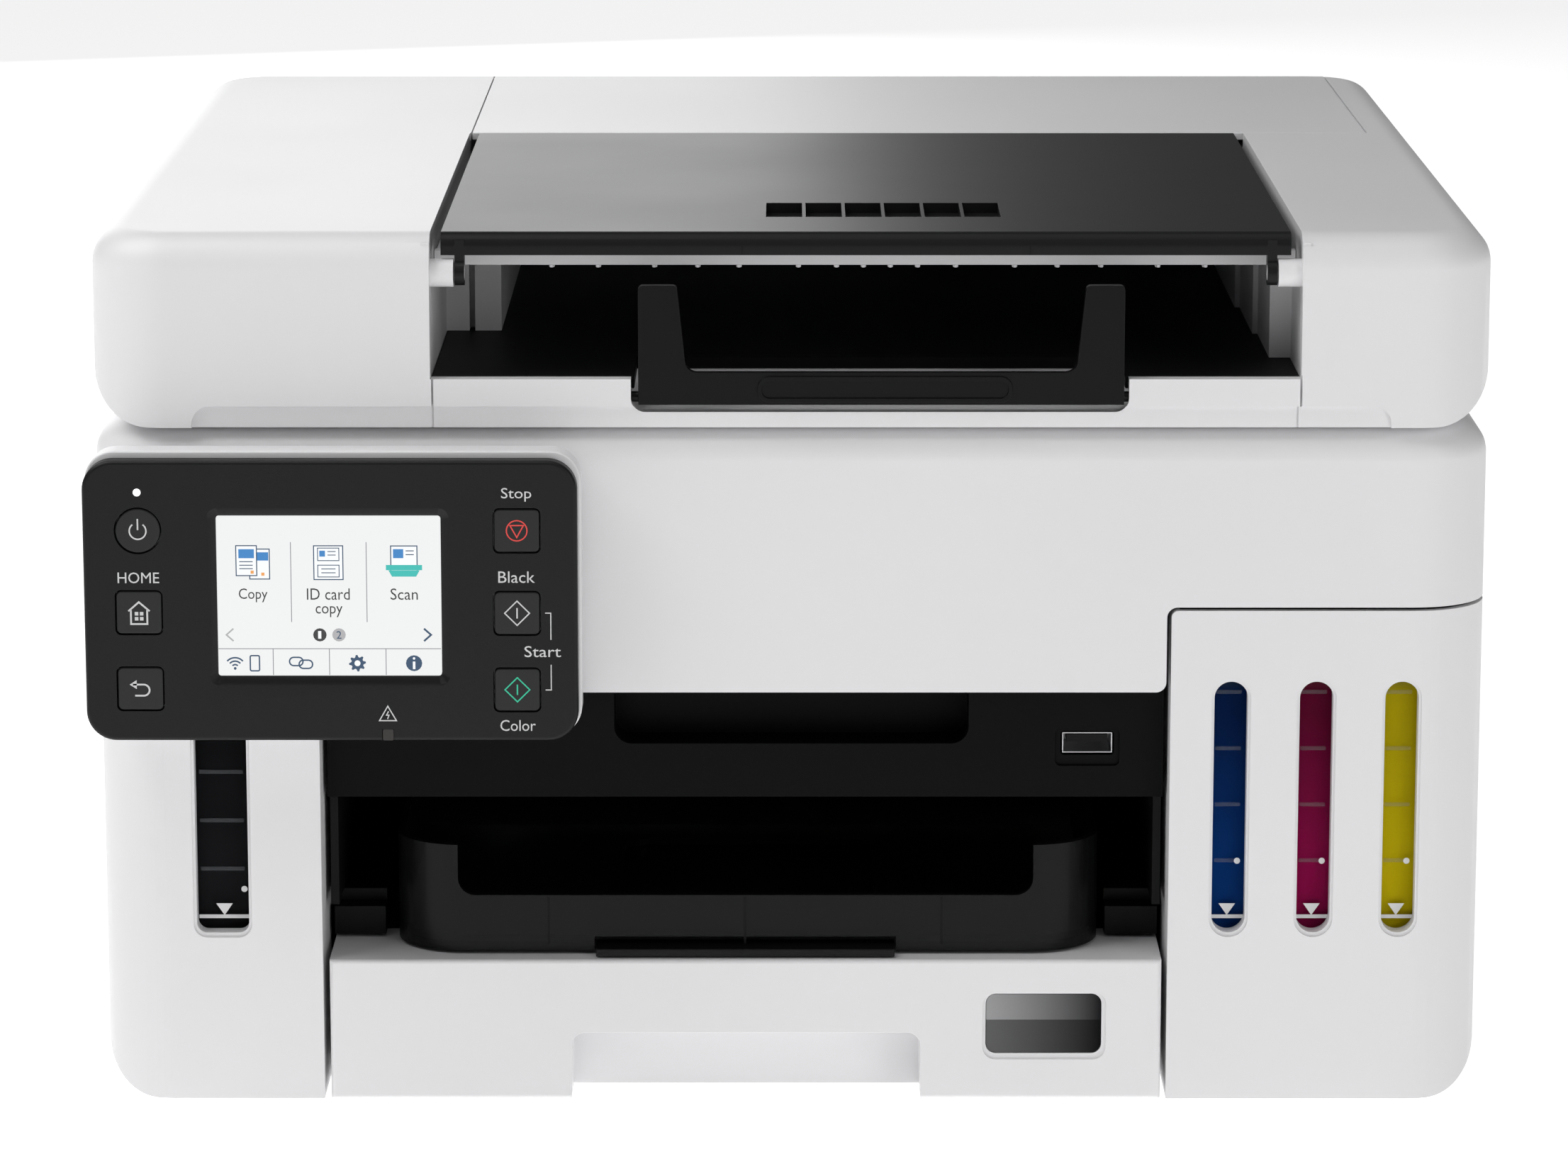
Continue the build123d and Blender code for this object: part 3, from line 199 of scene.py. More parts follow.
def moulded(name, material, edge=0.35, segments=2, set_back=0.0):
    """Smooth copy of a CAD piece with rolled edges, which stands for it."""
    mesh = frame["nodes"][name].data.copy()
    mesh.materials.clear()
    mesh.materials.append(material)
    shape = bmesh.new()
    shape.from_mesh(mesh)
    bmesh.ops.remove_doubles(shape, verts=shape.verts, dist=0.004 * MM)
    flat = math.radians(0.5)
    bmesh.ops.dissolve_limit(shape, angle_limit=flat, verts=shape.verts, edges=shape.edges)
    bmesh.ops.translate(shape, verts=shape.verts, vec=(0, set_back * MM, 0))
    shape.to_mesh(mesh)
    shape.free()
    mesh.shade_smooth()
    mesh.set_sharp_from_angle(angle=math.radians(35))
    piece = bpy.data.objects.new(name + "_moulding", mesh)
    scene.collection.objects.link(piece)
    if edge:
        rolled = piece.modifiers.new("rolled_edges", "BEVEL")
        rolled.width = edge * MM
        rolled.segments = segments
        rolled.limit_method = "ANGLE"
        rolled.angle_limit = math.radians(40)
        rolled.harden_normals = True
        even = piece.modifiers.new("even_shading", "WEIGHTED_NORMAL")
        even.keep_sharp = True
    settle(piece, body_of[name], slot_of[name], name)
    return piece


matt_black = plastic("matt_black", (0.008, 0.008, 0.008), 0.55, 0.5, 0.03, specular=0.3)
dress(matt_black, "base_frame", "power_supply")
zinc_steel = metal("zinc_steel", (0.56, 0.56, 0.57), 0.35, 12)
for steel_piece in ("carriage_rail", "drive_motors", "connector_ports", "housing_screws"):
    moulded(steel_piece, zinc_steel, 0.15, 1)
foot_rubber = plastic("foot_rubber", (0.02, 0.02, 0.02), 0.8, 0.3, 0.03, specular=0.3)
moulded("rubber_feet", foot_rubber, 0.3)
service_grey = plastic("service_grey", (0.11, 0.11, 0.115), 0.5, 0.5, 0.03)
moulded("purge_unit", service_grey, 0.4)


# ---- Main board ----
# A green glass-fibre board stands on edge behind the left cover. Its chips are black epoxy with
# two rows of tinned legs each, and solder joints run along its lower edge.
def ridge_tree():
    """Node tree for a straight row of round ridges or pins, all along one direction."""
    tree = bpy.data.node_groups.new("ridge_row", "GeometryNodeTree")
    for label, kind in (
            ("Count", "Int"), ("First Centre", "Vector"), ("Step", "Vector"), ("Half Length", "Vector"),
            ("Radius", "Float"), ("Sides", "Int"), ("Finish", "Material")):
        tree.interface.new_socket(label, in_out="INPUT", socket_type="NodeSocket" + kind)
    tree.interface.new_socket("Ridges", in_out="OUTPUT", socket_type="NodeSocketGeometry")
    nodes, links = tree.nodes, tree.links
    given = nodes.new("NodeGroupInput").outputs
    row = nodes.new("GeometryNodeMeshLine")
    links.new(given["Count"], row.inputs["Count"])
    links.new(given["First Centre"], row.inputs["Start Location"])
    links.new(given["Step"], row.inputs["Offset"])
    back = nodes.new("ShaderNodeVectorMath")
    back.operation = "SCALE"
    back.inputs["Scale"].default_value = -1
    links.new(given["Half Length"], back.inputs[0])
    line = nodes.new("GeometryNodeCurvePrimitiveLine")
    links.new(back.outputs["Vector"], line.inputs["Start"])
    links.new(given["Half Length"], line.inputs["End"])
    section = nodes.new("GeometryNodeCurvePrimitiveCircle")
    links.new(given["Sides"], section.inputs["Resolution"])
    links.new(given["Radius"], section.inputs["Radius"])
    bar = nodes.new("GeometryNodeCurveToMesh")
    bar.inputs["Fill Caps"].default_value = True
    links.new(line.outputs["Curve"], bar.inputs["Curve"])
    links.new(section.outputs["Curve"], bar.inputs["Profile Curve"])
    copies = nodes.new("GeometryNodeInstanceOnPoints")
    links.new(row.outputs["Mesh"], copies.inputs["Points"])
    links.new(bar.outputs["Mesh"], copies.inputs["Instance"])
    real = nodes.new("GeometryNodeRealizeInstances")
    links.new(copies.outputs["Instances"], real.inputs["Geometry"])
    finish = nodes.new("GeometryNodeSetMaterial")
    links.new(real.outputs["Geometry"], finish.inputs["Geometry"])
    links.new(given["Finish"], finish.inputs["Material"])
    result = nodes.new("NodeGroupOutput")
    links.new(finish.outputs["Geometry"], result.inputs["Ridges"])
    return tree


ridge_row_tree = ridge_tree()


def grown(name, tree, settings):
    """Run a Geometry Nodes tree with named inputs and keep its result as a plain mesh."""
    piece = bpy.data.objects.new(name, bpy.data.meshes.new(name))
    scene.collection.objects.link(piece)
    growth = piece.modifiers.new("growth", "NODES")
    growth.node_group = tree
    for item in tree.interface.items_tree:
        if item.in_out == "INPUT":
            growth[item.identifier] = settings[item.name]
    bpy.context.view_layer.update()
    ready = piece.evaluated_get(bpy.context.evaluated_depsgraph_get())
    mesh = bpy.data.meshes.new_from_object(ready)
    piece.modifiers.remove(growth)
    piece.data = mesh
    return piece


def ridge_row(name, count, first, step, half_length, radius, finish, body, slot, sides=8):
    """Row of ridges or pins in millimetres, as one piece on its body."""
    piece = grown(name, ridge_row_tree, {
        "Count": count, "First Centre": [v * MM for v in first], "Step": [v * MM for v in step],
        "Half Length": [v * MM for v in half_length], "Radius": radius * MM, "Sides": sides,
        "Finish": finish})
    settle(piece, body, slot)
    return piece


solder_mask = plastic("solder_mask", (0.012, 0.11, 0.04), 0.35, 1.5, 0.02)
dress(solder_mask, "main_board")
tinned = metal("tinned_legs", (0.6, 0.6, 0.58), 0.3, 1)
board_face = -191.4
leg_pitch = 2
chip_rows = ((-20, 24), (40, 30), (100, 18))
for chip_y, chip_size in chip_rows:
    for side, leg_z in (("lower", 59.4), ("upper", 60.6 + chip_size)):
        first_leg = (board_face + 0.3, chip_y + leg_pitch / 2, leg_z)
        ridge_row(f"chip_legs_{chip_size}_{side}", chip_size // leg_pitch, first_leg, (0, leg_pitch, 0),
                  (0, 0, 0.9), 0.3, tinned, "chassis", "steel", 4)


# ---- Print mechanism ----
# The carriage slides on the rail over a ribbed platen and holds four dark ink chambers over the
# print head. Paper is moved by rubber-faced rollers, and small star wheels ride on the last one.
for black_piece in ("print_platen", "print_carriage", "print_head"):
    moulded(black_piece, matt_black, 0.2, 1)
roller_rubber = plastic("roller_rubber", (0.03, 0.03, 0.032), 0.75, 0.2, 0.03, specular=0.3)
for roller in ("feed_roller", "exit_roller", "pickup_roller"):
    moulded(roller, roller_rubber, 0.2, 1)


def star_wheel_tree():
    """Node tree for a row of thin toothed wheels on one shaft along X."""
    tree = bpy.data.node_groups.new("star_wheels", "GeometryNodeTree")
    for label, kind in (
            ("Count", "Int"), ("First Centre", "Vector"), ("Step", "Vector"), ("Teeth", "Int"),
            ("Inner Radius", "Float"), ("Outer Radius", "Float"), ("Thickness", "Vector"),
            ("Finish", "Material")):
        tree.interface.new_socket(label, in_out="INPUT", socket_type="NodeSocket" + kind)
    tree.interface.new_socket("Wheels", in_out="OUTPUT", socket_type="NodeSocketGeometry")
    nodes, links = tree.nodes, tree.links
    given = nodes.new("NodeGroupInput").outputs
    row = nodes.new("GeometryNodeMeshLine")
    links.new(given["Count"], row.inputs["Count"])
    links.new(given["First Centre"], row.inputs["Start Location"])
    links.new(given["Step"], row.inputs["Offset"])
    star = nodes.new("GeometryNodeCurveStar")
    links.new(given["Teeth"], star.inputs["Points"])
    links.new(given["Inner Radius"], star.inputs["Inner Radius"])
    links.new(given["Outer Radius"], star.inputs["Outer Radius"])
    web = nodes.new("GeometryNodeCurvePrimitiveLine")
    links.new(given["Thickness"], web.inputs["End"])
    wheel = nodes.new("GeometryNodeCurveToMesh")
    wheel.inputs["Fill Caps"].default_value = True
    links.new(web.outputs["Curve"], wheel.inputs["Curve"])
    links.new(star.outputs["Curve"], wheel.inputs["Profile Curve"])
    copies = nodes.new("GeometryNodeInstanceOnPoints")
    links.new(row.outputs["Mesh"], copies.inputs["Points"])
    links.new(wheel.outputs["Mesh"], copies.inputs["Instance"])
    real = nodes.new("GeometryNodeRealizeInstances")
    links.new(copies.outputs["Instances"], real.inputs["Geometry"])
    finish = nodes.new("GeometryNodeSetMaterial")
    links.new(real.outputs["Geometry"], finish.inputs["Geometry"])
    links.new(given["Finish"], finish.inputs["Material"])
    result = nodes.new("NodeGroupOutput")
    links.new(finish.outputs["Geometry"], result.inputs["Wheels"])
    return tree


exit_axis_y, exit_axis_z = -76.0, 97.0
star_wheels = grown("exit_star_wheels", star_wheel_tree(), {
    "Count": 7, "First Centre": (-99.5 * MM, exit_axis_y * MM, exit_axis_z * MM),
    "Step": (28 * MM, 0, 0), "Teeth": 20, "Inner Radius": 3.6 * MM, "Outer Radius": 4.6 * MM,
    "Thickness": (0.9 * MM, 0, 0), "Finish": zinc_steel})
settle(star_wheels, "exit_roller", "steel")


# ---- Ink tanks ----
# Each clear polypropylene tank shows its ink through a window in the cover. Level ridges are
# moulded on its wall; the fill mark, the line under it and the half-way dot are printed white.
ink_tones = {
    "black": ((0.010, 0.010, 0.011), (0.004, 0.004, 0.0045), (0.012, 0.012, 0.013)),
    "cyan": ((0.001, 0.036, 0.19), (0.0006, 0.012, 0.07), (0.02, 0.04, 0.065)),
    "magenta": ((0.30, 0.003, 0.07), (0.12, 0.0015, 0.024), (0.11, 0.02, 0.035)),
    "yellow": ((0.66, 0.52, 0.002), (0.52, 0.41, 0.002), (0.22, 0.20, 0.03)),
}
window_low, window_high = 51.1, 125.2


def ink_liquid(name, tones):
    """Ink seen through the tank wall, lighter at the foot of the window, deepest above and grey at the top.
    """
    material = plastic(name, tones[0], 0.3, 4, 0.004, specular=0.0)
    nodes, links = material.node_tree.nodes, material.node_tree.links
    parts = nodes.new("ShaderNodeSeparateXYZ")
    links.new(nodes["Texture Coordinate"].outputs["Object"], parts.inputs["Vector"])
    height = nodes.new("ShaderNodeMapRange")
    height.inputs["From Min"].default_value = window_low * MM
    height.inputs["From Max"].default_value = window_high * MM
    links.new(parts.outputs["Z"], height.inputs["Value"])
    ramp = nodes.new("ShaderNodeValToRGB")
    stops = ramp.color_ramp.elements
    stops[0].position, stops[0].color = 0.0, (*tones[0], 1)
    stops[1].position, stops[1].color = 1.0, (*tones[2], 1)
    for position, tone in ((0.25, tones[0]), (0.85, tones[1]), (0.94, tones[1])):
        stops.new(position).color = (*tone, 1)
    links.new(height.outputs["Result"], ramp.inputs["Fac"])
    links.new(ramp.outputs["Color"], nodes["Principled BSDF"].inputs["Base Color"])
    return material


tank_clear = plastic("tank_clear", (0.02, 0.022, 0.024), 0.12, 1.2, 0.004, alpha=0.05, specular=0.1)
ridge_clear = plastic("ridge_clear", (0.25, 0.27, 0.29), 0.15, 1.2, 0.004, alpha=0.12, specular=0.2)
cap_rubber = {
    ink: plastic(ink + "_cap_rubber", colour, 0.6, 0.4, 0.03)
    for ink, colour in (("black", (0.02, 0.02, 0.02)), ("cyan", (0.01, 0.16, 0.5)),
                        ("magenta", (0.5, 0.015, 0.12)), ("yellow", (0.75, 0.6, 0.01)))}
for tank in ("black_ink_tank", "color_ink_tank"):
    moulded(tank, tank_clear, 0.3)
for ink, tones in ink_tones.items():
    moulded(ink + "_ink", ink_liquid(ink + "_ink_liquid", tones), 0.4, 2, 0.1)
    moulded(ink + "_tank_cap", cap_rubber[ink], 0.4)


def plate(shape, outline, front, depth, finish=0):
    """Closed flat plate that faces the front: its outline is (x, z) points in millimetres."""
    near = [shape.verts.new((x * MM, front * MM, z * MM)) for x, z in outline]
    far = [shape.verts.new((x * MM, (front + depth) * MM, z * MM)) for x, z in outline]
    faces = [shape.faces.new(near), shape.faces.new(far[::-1])]
    for i in range(len(outline)):
        after = (i + 1) % len(outline)
        faces.append(shape.faces.new((near[i], far[i], far[after], near[after])))
    for face in faces:
        face.material_index = finish


def oblong(x, z, width, height, corner=0.0, corner_steps=5):
    """Outline of a rectangle round a centre, with rounded corners; a circle if corner is half of it."""
    if not corner:
        return [(x + i * width / 2, z + k * height / 2) for i, k in ((-1, -1), (1, -1), (1, 1), (-1, 1))]
    points = []
    for quarter, (i, k) in enumerate(((1, 1), (-1, 1), (-1, -1), (1, -1))):
        hub_x, hub_z = x + i * (width / 2 - corner), z + k * (height / 2 - corner)
        for step in range(corner_steps):
            turn = math.radians(90 * (quarter + step / (corner_steps - 1)))
            points.append((hub_x + corner * math.cos(turn), hub_z + corner * math.sin(turn)))
    return points


def printed(name, shape, finishes, body, slot):
    """Turn the plates in a bmesh into one piece with its inks, facing outwards."""
    bmesh.ops.remove_doubles(shape, verts=shape.verts, dist=0.0005 * MM)
    bmesh.ops.recalc_face_normals(shape, faces=shape.faces)
    mesh = bpy.data.meshes.new(name)
    shape.to_mesh(mesh)
    shape.free()
    for finish in finishes:
        mesh.materials.append(finish)
    piece = bpy.data.objects.new(name, mesh)
    settle(piece, body, slot)
    return piece


white_print = plastic("white_print", (0.8, 0.8, 0.8), 0.5, 0.1, 0.004)
tank_wall_front = -179.8
windows = {"black": -163.9, "cyan": 125.9, "magenta": 150.35, "yellow": 174.8}
for ink, window_x in windows.items():
    if ink == "black":
        ridge_first, ridge_step, ridge_count, ridge_half, mark_width = 68.7, 14.35, 3, 6.3, 14.6
        dot_x, dot_z = window_x + 5.9, 62.8
    else:
        ridge_first, ridge_step, ridge_count, ridge_half, mark_width = 71.2, 16.6, 4, 3.65, 9.4
        dot_x, dot_z = window_x + 2.7, ridge_first
    ridge_row(ink + "_level_ridges", ridge_count, (window_x - 0.3, tank_wall_front, ridge_first),
              (0, 0, ridge_step), (ridge_half, 0, 0), 0.62, ridge_clear, "chassis", "tank_clear", 12)
    marks = bmesh.new()
    mark_front = tank_wall_front - 0.7
    plate(marks, oblong(dot_x, dot_z, 1.8, 1.8, 0.9, 7), mark_front, 0.1)
    plate(marks, [(window_x - 2.4, 58.4), (window_x, 54.9), (window_x + 2.4, 58.4)], mark_front + 0.5, 0.1)
    plate(marks, oblong(window_x, 54.55, mark_width, 1.1), mark_front + 0.4, 0.1)
    printed(ink + "_fill_marks", marks, [white_print], "chassis", "white_shell")


# ---- White covers ----
# The outer covers are injection-moulded white ABS with a very fine spark-eroded texture and
# small rounded edges. They clip to the chassis, and six screws hold the back one.
white_abs = plastic("white_abs", (0.77, 0.765, 0.775), 0.42, 0.25, 0.012)
for cover in ("left_tank_cover", "right_tank_cover", "rear_cover", "rear_access_cover"):
    moulded(cover, white_abs)
moulded("maintenance_cartridge", service_grey, 0.4)


# ---- Front of the output bay ----
# The panel over the output bay is grained black ABS in one moulding with the finger pocket and
# the bezel of the memory-stick socket; behind it the paper leaves through a plain black duct.
def leather_grain(name, colour, roughness, cell, height, specular):
    """Black moulded plastic whose relief is small rounded cells with finer wrinkles over them."""
    material = plastic(name, colour, roughness, cell / 3, height, specular=specular)
    nodes, links = material.node_tree.nodes, material.node_tree.links
    cells = nodes.new("ShaderNodeTexVoronoi")
    cells.feature = "SMOOTH_F1"
    cells.inputs["Scale"].default_value = 1 / (cell * MM)
    links.new(nodes["Texture Coordinate"].outputs["Object"], cells.inputs["Vector"])
    blend = nodes.new("ShaderNodeMath")
    blend.operation = "MULTIPLY_ADD"
    blend.inputs[1].default_value = 0.7
    links.new(cells.outputs["Distance"], blend.inputs[0])
    links.new(nodes["grain"].outputs["Fac"], blend.inputs[2])
    links.new(blend.outputs["Value"], nodes["relief"].inputs["Height"])
    return material


deep_grain = leather_grain("deep_grain_black", (0.003, 0.003, 0.0034), 0.45, 0.8, 0.05, 0.07)
moulded("inner_front_panel", deep_grain, 0.4)
duct_black = plastic("duct_black", (0.004, 0.004, 0.004), 0.5, 0.5, 0.03, specular=0.15)
moulded("output_guide", duct_black, 0.2, 1)
tongue = bmesh.new()
tongue_front, tongue_length = -173.6, 13
plate(tongue, oblong(85.3, 106, 11.8, 2.2), tongue_front, tongue_length)
printed("socket_tongue", tongue, [duct_black], "chassis", "black_inner")


# ---- Paper cassette ----
# The white cassette front has a finger recess and a smoked level window, and is clipped to a
# grey tray whose two paper guides slide on a rack. The window pane carries painted light, which fades
# from light at the left to dark at the right, and painted shade, which darkens it below a set height
# where the shaded inside of the cassette shows.
moulded("cassette_front", white_abs)
tray_grey = plastic("tray_grey", (0.12, 0.12, 0.125), 0.5, 0.5, 0.03)
for tray_piece in ("cassette_tray", "left_paper_guide", "right_paper_guide"):
    moulded(tray_piece, tray_grey, 0.3)


def painted_light_pane(name, left, right, shade_edge):
    """Smoked pane with painted light that fades from left to right, and painted shade below a set height.
    """
    material = plastic(name, (0.03, 0.03, 0.032), 0.2, 0.5, 0.004, specular=0.04)
    nodes, links = material.node_tree.nodes, material.node_tree.links
    parts = nodes.new("ShaderNodeSeparateXYZ")
    links.new(nodes["Texture Coordinate"].outputs["Object"], parts.inputs["Vector"])
    across = nodes.new("ShaderNodeMapRange")
    across.inputs["From Min"].default_value = left * MM
    across.inputs["From Max"].default_value = right * MM
    links.new(parts.outputs["X"], across.inputs["Value"])
    # Painted light: the pane is light at its left end and fades to near black at the right.
    shade = nodes.new("ShaderNodeValToRGB")
    shade.color_ramp.elements[0].color = (0.34, 0.34, 0.345, 1)
    shade.color_ramp.elements[1].color = (0.006, 0.006, 0.007, 1)
    links.new(across.outputs["Result"], shade.inputs["Fac"])
    # Painted shade: below this height the pane is dimmed to 0.35 of its tone, standing for the shaded
    # inside of the cassette.
    above_painted_shade = nodes.new("ShaderNodeMath")
    above_painted_shade.operation = "GREATER_THAN"
    above_painted_shade.inputs[1].default_value = shade_edge * MM
    links.new(parts.outputs["Z"], above_painted_shade.inputs[0])
    dim = nodes.new("ShaderNodeMapRange")
    dim.inputs["To Min"].default_value = 0.35
    links.new(above_painted_shade.outputs["Value"], dim.inputs["Value"])
    tone = nodes.new("ShaderNodeVectorMath")
    tone.operation = "SCALE"
    links.new(shade.outputs["Color"], tone.inputs[0])
    links.new(dim.outputs["Result"], tone.inputs["Scale"])
    links.new(tone.outputs["Vector"], nodes["Principled BSDF"].inputs["Base Color"])
    return material


# The cassette window carries painted light across it and painted shade over its lower part.
level_pane = painted_light_pane("level_pane", 56.3, 89.6, 25.0)
moulded("cassette_window", level_pane, 0.2)


# ---- Output tray ----
# Sheets drop into a tray of smoke-grey polycarbonate, polished at the rim and finely textured on
# its walls. A flat slider with a thin front lip pulls out from under its floor.
def smoked(name, tint, roughness, alpha, grain, height):
    """Smoke-grey clear plastic that lets part of what is behind it show."""
    return plastic(name, tint, roughness, grain, height, alpha=alpha, specular=0.16)


smoke_tray = smoked("smoke_tray", (0.006, 0.006, 0.0065), 0.3, 0.84, 0.7, 0.02)
for tray_piece in ("output_tray", "tray_extension"):
    moulded(tray_piece, smoke_tray, 0.35, 3)
wall_ribs = bmesh.new()
tray_wall_front = -179.0
for rib_x in (-70.2, -13.4, 43.5):
    plate(wall_ribs, oblong(rib_x, 53, 0.7, 14), tray_wall_front - 0.05, 0.1)
printed("tray_wall_ribs", wall_ribs, [duct_black], "output_tray", "smoky_clear")


# ---- Scanner unit ----
# The scanner's white tub hinges at the back and hangs its apron over the front panel. Two panes
# of float glass are let into its deck, and a lamp bar on a rod travels under them.
moulded("scanner_housing", white_abs, 0.5, 3)
float_glass = plastic("float_glass", (0.55, 0.62, 0.6), 0.05, 30, 0.002, alpha=0.30)
dress(float_glass, "platen_glass")
moulded("scan_bar", service_grey, 0.4)


# ---- Operation panel ----
# A white back shell tilts on two arms and carries a grained black face with a bevelled well for
# the touch screen. The legends are screen-printed light grey, and a pilot lamp shows power.
moulded("panel_housing", white_abs, 0.6, 3)
panel_grain = leather_grain("panel_grain_black", (0.007, 0.007, 0.0075), 0.40, 0.55, 0.05, 0.22)
moulded("panel_face", panel_grain, 0.35, 3, 0.06)
legend_grey = plastic("legend_grey", (0.62, 0.62, 0.62), 0.5, 0.1, 0.004)
legend_red = plastic("legend_red", (0.75, 0.06, 0.05), 0.5, 0.1, 0.004)
legend_green = plastic("legend_green", (0.03, 0.55, 0.33), 0.5, 0.1, 0.004)


def stroke(shape, path, width, front, depth, finish=0, closed=False):
    """Printed line of even width along (x, z) points, as a closed plate with mitred corners."""
    count = len(path)
    left, right = [], []
    for i, point in enumerate(path):
        before = Vector(path[i - 1]) if (i or closed) else None
        after = Vector(path[(i + 1) % count]) if (i < count - 1 or closed) else None
        here = Vector(point)
        way_in = (here - before).normalized() if before is not None else None
        way_out = (after - here).normalized() if after is not None else None
        way_in = way_out if way_in is None else way_in
        way_out = way_in if way_out is None else way_out
        mean = (way_in + way_out).normalized()
        side = Vector((-mean.y, mean.x))
        reach = width / 2 / max(0.35, side.dot(Vector((-way_in.y, way_in.x))))
        left.append(here + side * reach)
        right.append(here - side * reach)
    rings = []
    for i in range(count):
        corners = ((right[i], front), (left[i], front), (left[i], front + depth), (right[i], front + depth))
        rings.append([shape.verts.new((p.x * MM, y * MM, p.y * MM)) for p, y in corners])
    faces = []
    for i in range(count if closed else count - 1):
        here, after = rings[i], rings[(i + 1) % count]
        for k in range(4):
            faces.append(shape.faces.new((here[k], after[k], after[(k + 1) % 4], here[(k + 1) % 4])))
    if not closed:
        faces += [shape.faces.new(rings[0]), shape.faces.new(rings[-1][::-1])]
    for face in faces:
        face.material_index = finish


def arc(x, z, radius, start, end, steps=16):
    """Points on a circle from one angle to another, in degrees from +X."""
    turns = [math.radians(start + (end - start) * i / steps) for i in range(steps + 1)]
    return [(x + radius * math.cos(turn), z + radius * math.sin(turn)) for turn in turns]


def lettering(shape, word, x_range, z_range, front, depth, finish=0):
    """Plain sans-serif word, fitted to a box and merged into the print."""
    curve = bpy.data.curves.new("word", "FONT")
    curve.body = word
    curve.extrude = 0.05
    curve.resolution_u = 3
    writing = bpy.data.objects.new("word", curve)
    scene.collection.objects.link(writing)
    bpy.context.view_layer.update()
    mesh = bpy.data.meshes.new_from_object(writing.evaluated_get(bpy.context.evaluated_depsgraph_get()))
    bpy.data.objects.remove(writing)
    corners = [v.co.copy() for v in mesh.vertices]
    low = [min(c[i] for c in corners) for i in range(3)]
    high = [max(c[i] for c in corners) for i in range(3)]
    for v in mesh.vertices:
        share = [(v.co[i] - low[i]) / (high[i] - low[i]) for i in range(3)]
        x = x_range[0] + share[0] * (x_range[1] - x_range[0])
        z = z_range[0] + share[1] * (z_range[1] - z_range[0])
        v.co = (x * MM, (front + (1 - share[2]) * depth) * MM, z * MM)
    first_face = len(shape.faces)
    shape.from_mesh(mesh)
    shape.faces.ensure_lookup_table()
    for face in shape.faces[first_face:]:
        face.material_index = finish
    bpy.data.meshes.remove(mesh)


face_front = -205.0
print_depth = 0.06
legends = bmesh.new()
for word, word_x, word_z in (
        ("HOME", (-189.8, -178.1), (158.0, 161.1)),
        ("Stop", (-81.6, -73.1), (181.4, 185.3)),
        ("Black", (-82.6, -72.3), (158.1, 161.4)),
        ("Start", (-75.4, -65.1), (136.7, 139.9)),
        ("Color", (-82.4, -72.4), (115.3, 118.5))):
    lettering(legends, word, word_x, word_z, face_front, print_depth)
for bracket in ([(-69.5, 149.4), (-67.9, 149.4), (-67.9, 141.7)],
                [(-67.9, 134.5), (-67.9, 127.2), (-69.5, 127.2)]):
    stroke(legends, bracket, 0.3, face_front, print_depth)
alarm_triangle = [(-116.6, 118.3), (-111.8, 118.3), (-114.2, 122.5)]
stroke(legends, alarm_triangle, 0.32, face_front, print_depth, 0, True)
alarm_flash = [(-114.0, 121.0), (-114.6, 119.9), (-113.9, 119.9), (-114.3, 118.8)]
stroke(legends, alarm_flash, 0.3, face_front, print_depth)
printed("panel_legends", legends, [legend_grey], "operation_panel", "white_shell")


def glowing(name, colour, strength=1.0):
    """Lit surface with the slight unevenness of an edge-lit backlight."""
    material = plastic(name, (0.0, 0.0, 0.0), 0.2, 1.0, 0.001)
    nodes, links = material.node_tree.nodes, material.node_tree.links
    tone = nodes["tone"]
    tone.inputs["A"].default_value = [c * 0.97 for c in colour] + [1]
    tone.inputs["B"].default_value = [*colour, 1]
    shader = nodes["Principled BSDF"]
    for link in list(shader.inputs["Base Color"].links):
        links.remove(link)
    shader.inputs["Base Color"].default_value = (0.01, 0.01, 0.01, 1)
    links.new(tone.outputs["Result"], shader.inputs["Emission Color"])
    shader.inputs["Emission Strength"].default_value = strength
    return material


pilot = bmesh.new()
plate(pilot, oblong(-183.9, 184.0, 2.2, 2.2, 1.1, 7), face_front + 0.02, 0.5)
printed("pilot_lamp", pilot, [glowing("pilot_white", (1, 1, 1), 1.5)], "operation_panel", "screen")
alarm = bmesh.new()
plate(alarm, oblong(-114.2, 114.0, 3.0, 3.2, 0.4), -204.3, 0.5)
printed("alarm_lamp", alarm, [plastic("alarm_dark", (0.01, 0.006, 0.004), 0.2, 1, 0.004)],
        "operation_panel", "button_black")


# ---- Panel buttons ----
# Six black keys stand just behind the face. Each is moulded black with a satin top, and its sign
# is printed on it: a power ring, a house, a return arrow, and the stop and start signs.
key_black = plastic("key_black", (0.009, 0.009, 0.0095), 0.36, 0.3, 0.012, specular=0.35)
key_front = -204.7
sign_front = key_front - 0.04
sign_depth = 0.06


def key_sign(button, draw, finish):
    """One key with its printed sign, which moves with it."""
    moulded(button, key_black, 0.15, 2)
    sign = bmesh.new()
    draw(sign)
    printed(button + "_sign", sign, [finish], button, "white_shell")


def power_ring(sign):
    """Broken ring with a bar through the gap."""
    stroke(sign, arc(-183.9, 172.9, 2.35, 128, 412, 28), 0.42, sign_front, sign_depth)
    stroke(sign, [(-183.9, 173.2), (-183.9, 176.4)], 0.42, sign_front, sign_depth)


def house(sign):
    """House outline with four window panes."""
    x, z = -184.0, 149.2
    roof = [(x - 3.0, z + 0.7), (x, z + 3.3), (x + 3.0, z + 0.7)]
    stroke(sign, roof, 0.5, sign_front, sign_depth)
    walls = [(x - 2.3, z + 1.0), (x - 2.3, z - 3.0), (x + 2.3, z - 3.0), (x + 2.3, z + 1.0)]
    stroke(sign, walls, 0.5, sign_front, sign_depth)
    for i in (-1, 1):
        for k in (-1, 1):
            plate(sign, oblong(x + i * 0.72, z - 0.75 + k * 0.72, 1.0, 1.0), sign_front, sign_depth)


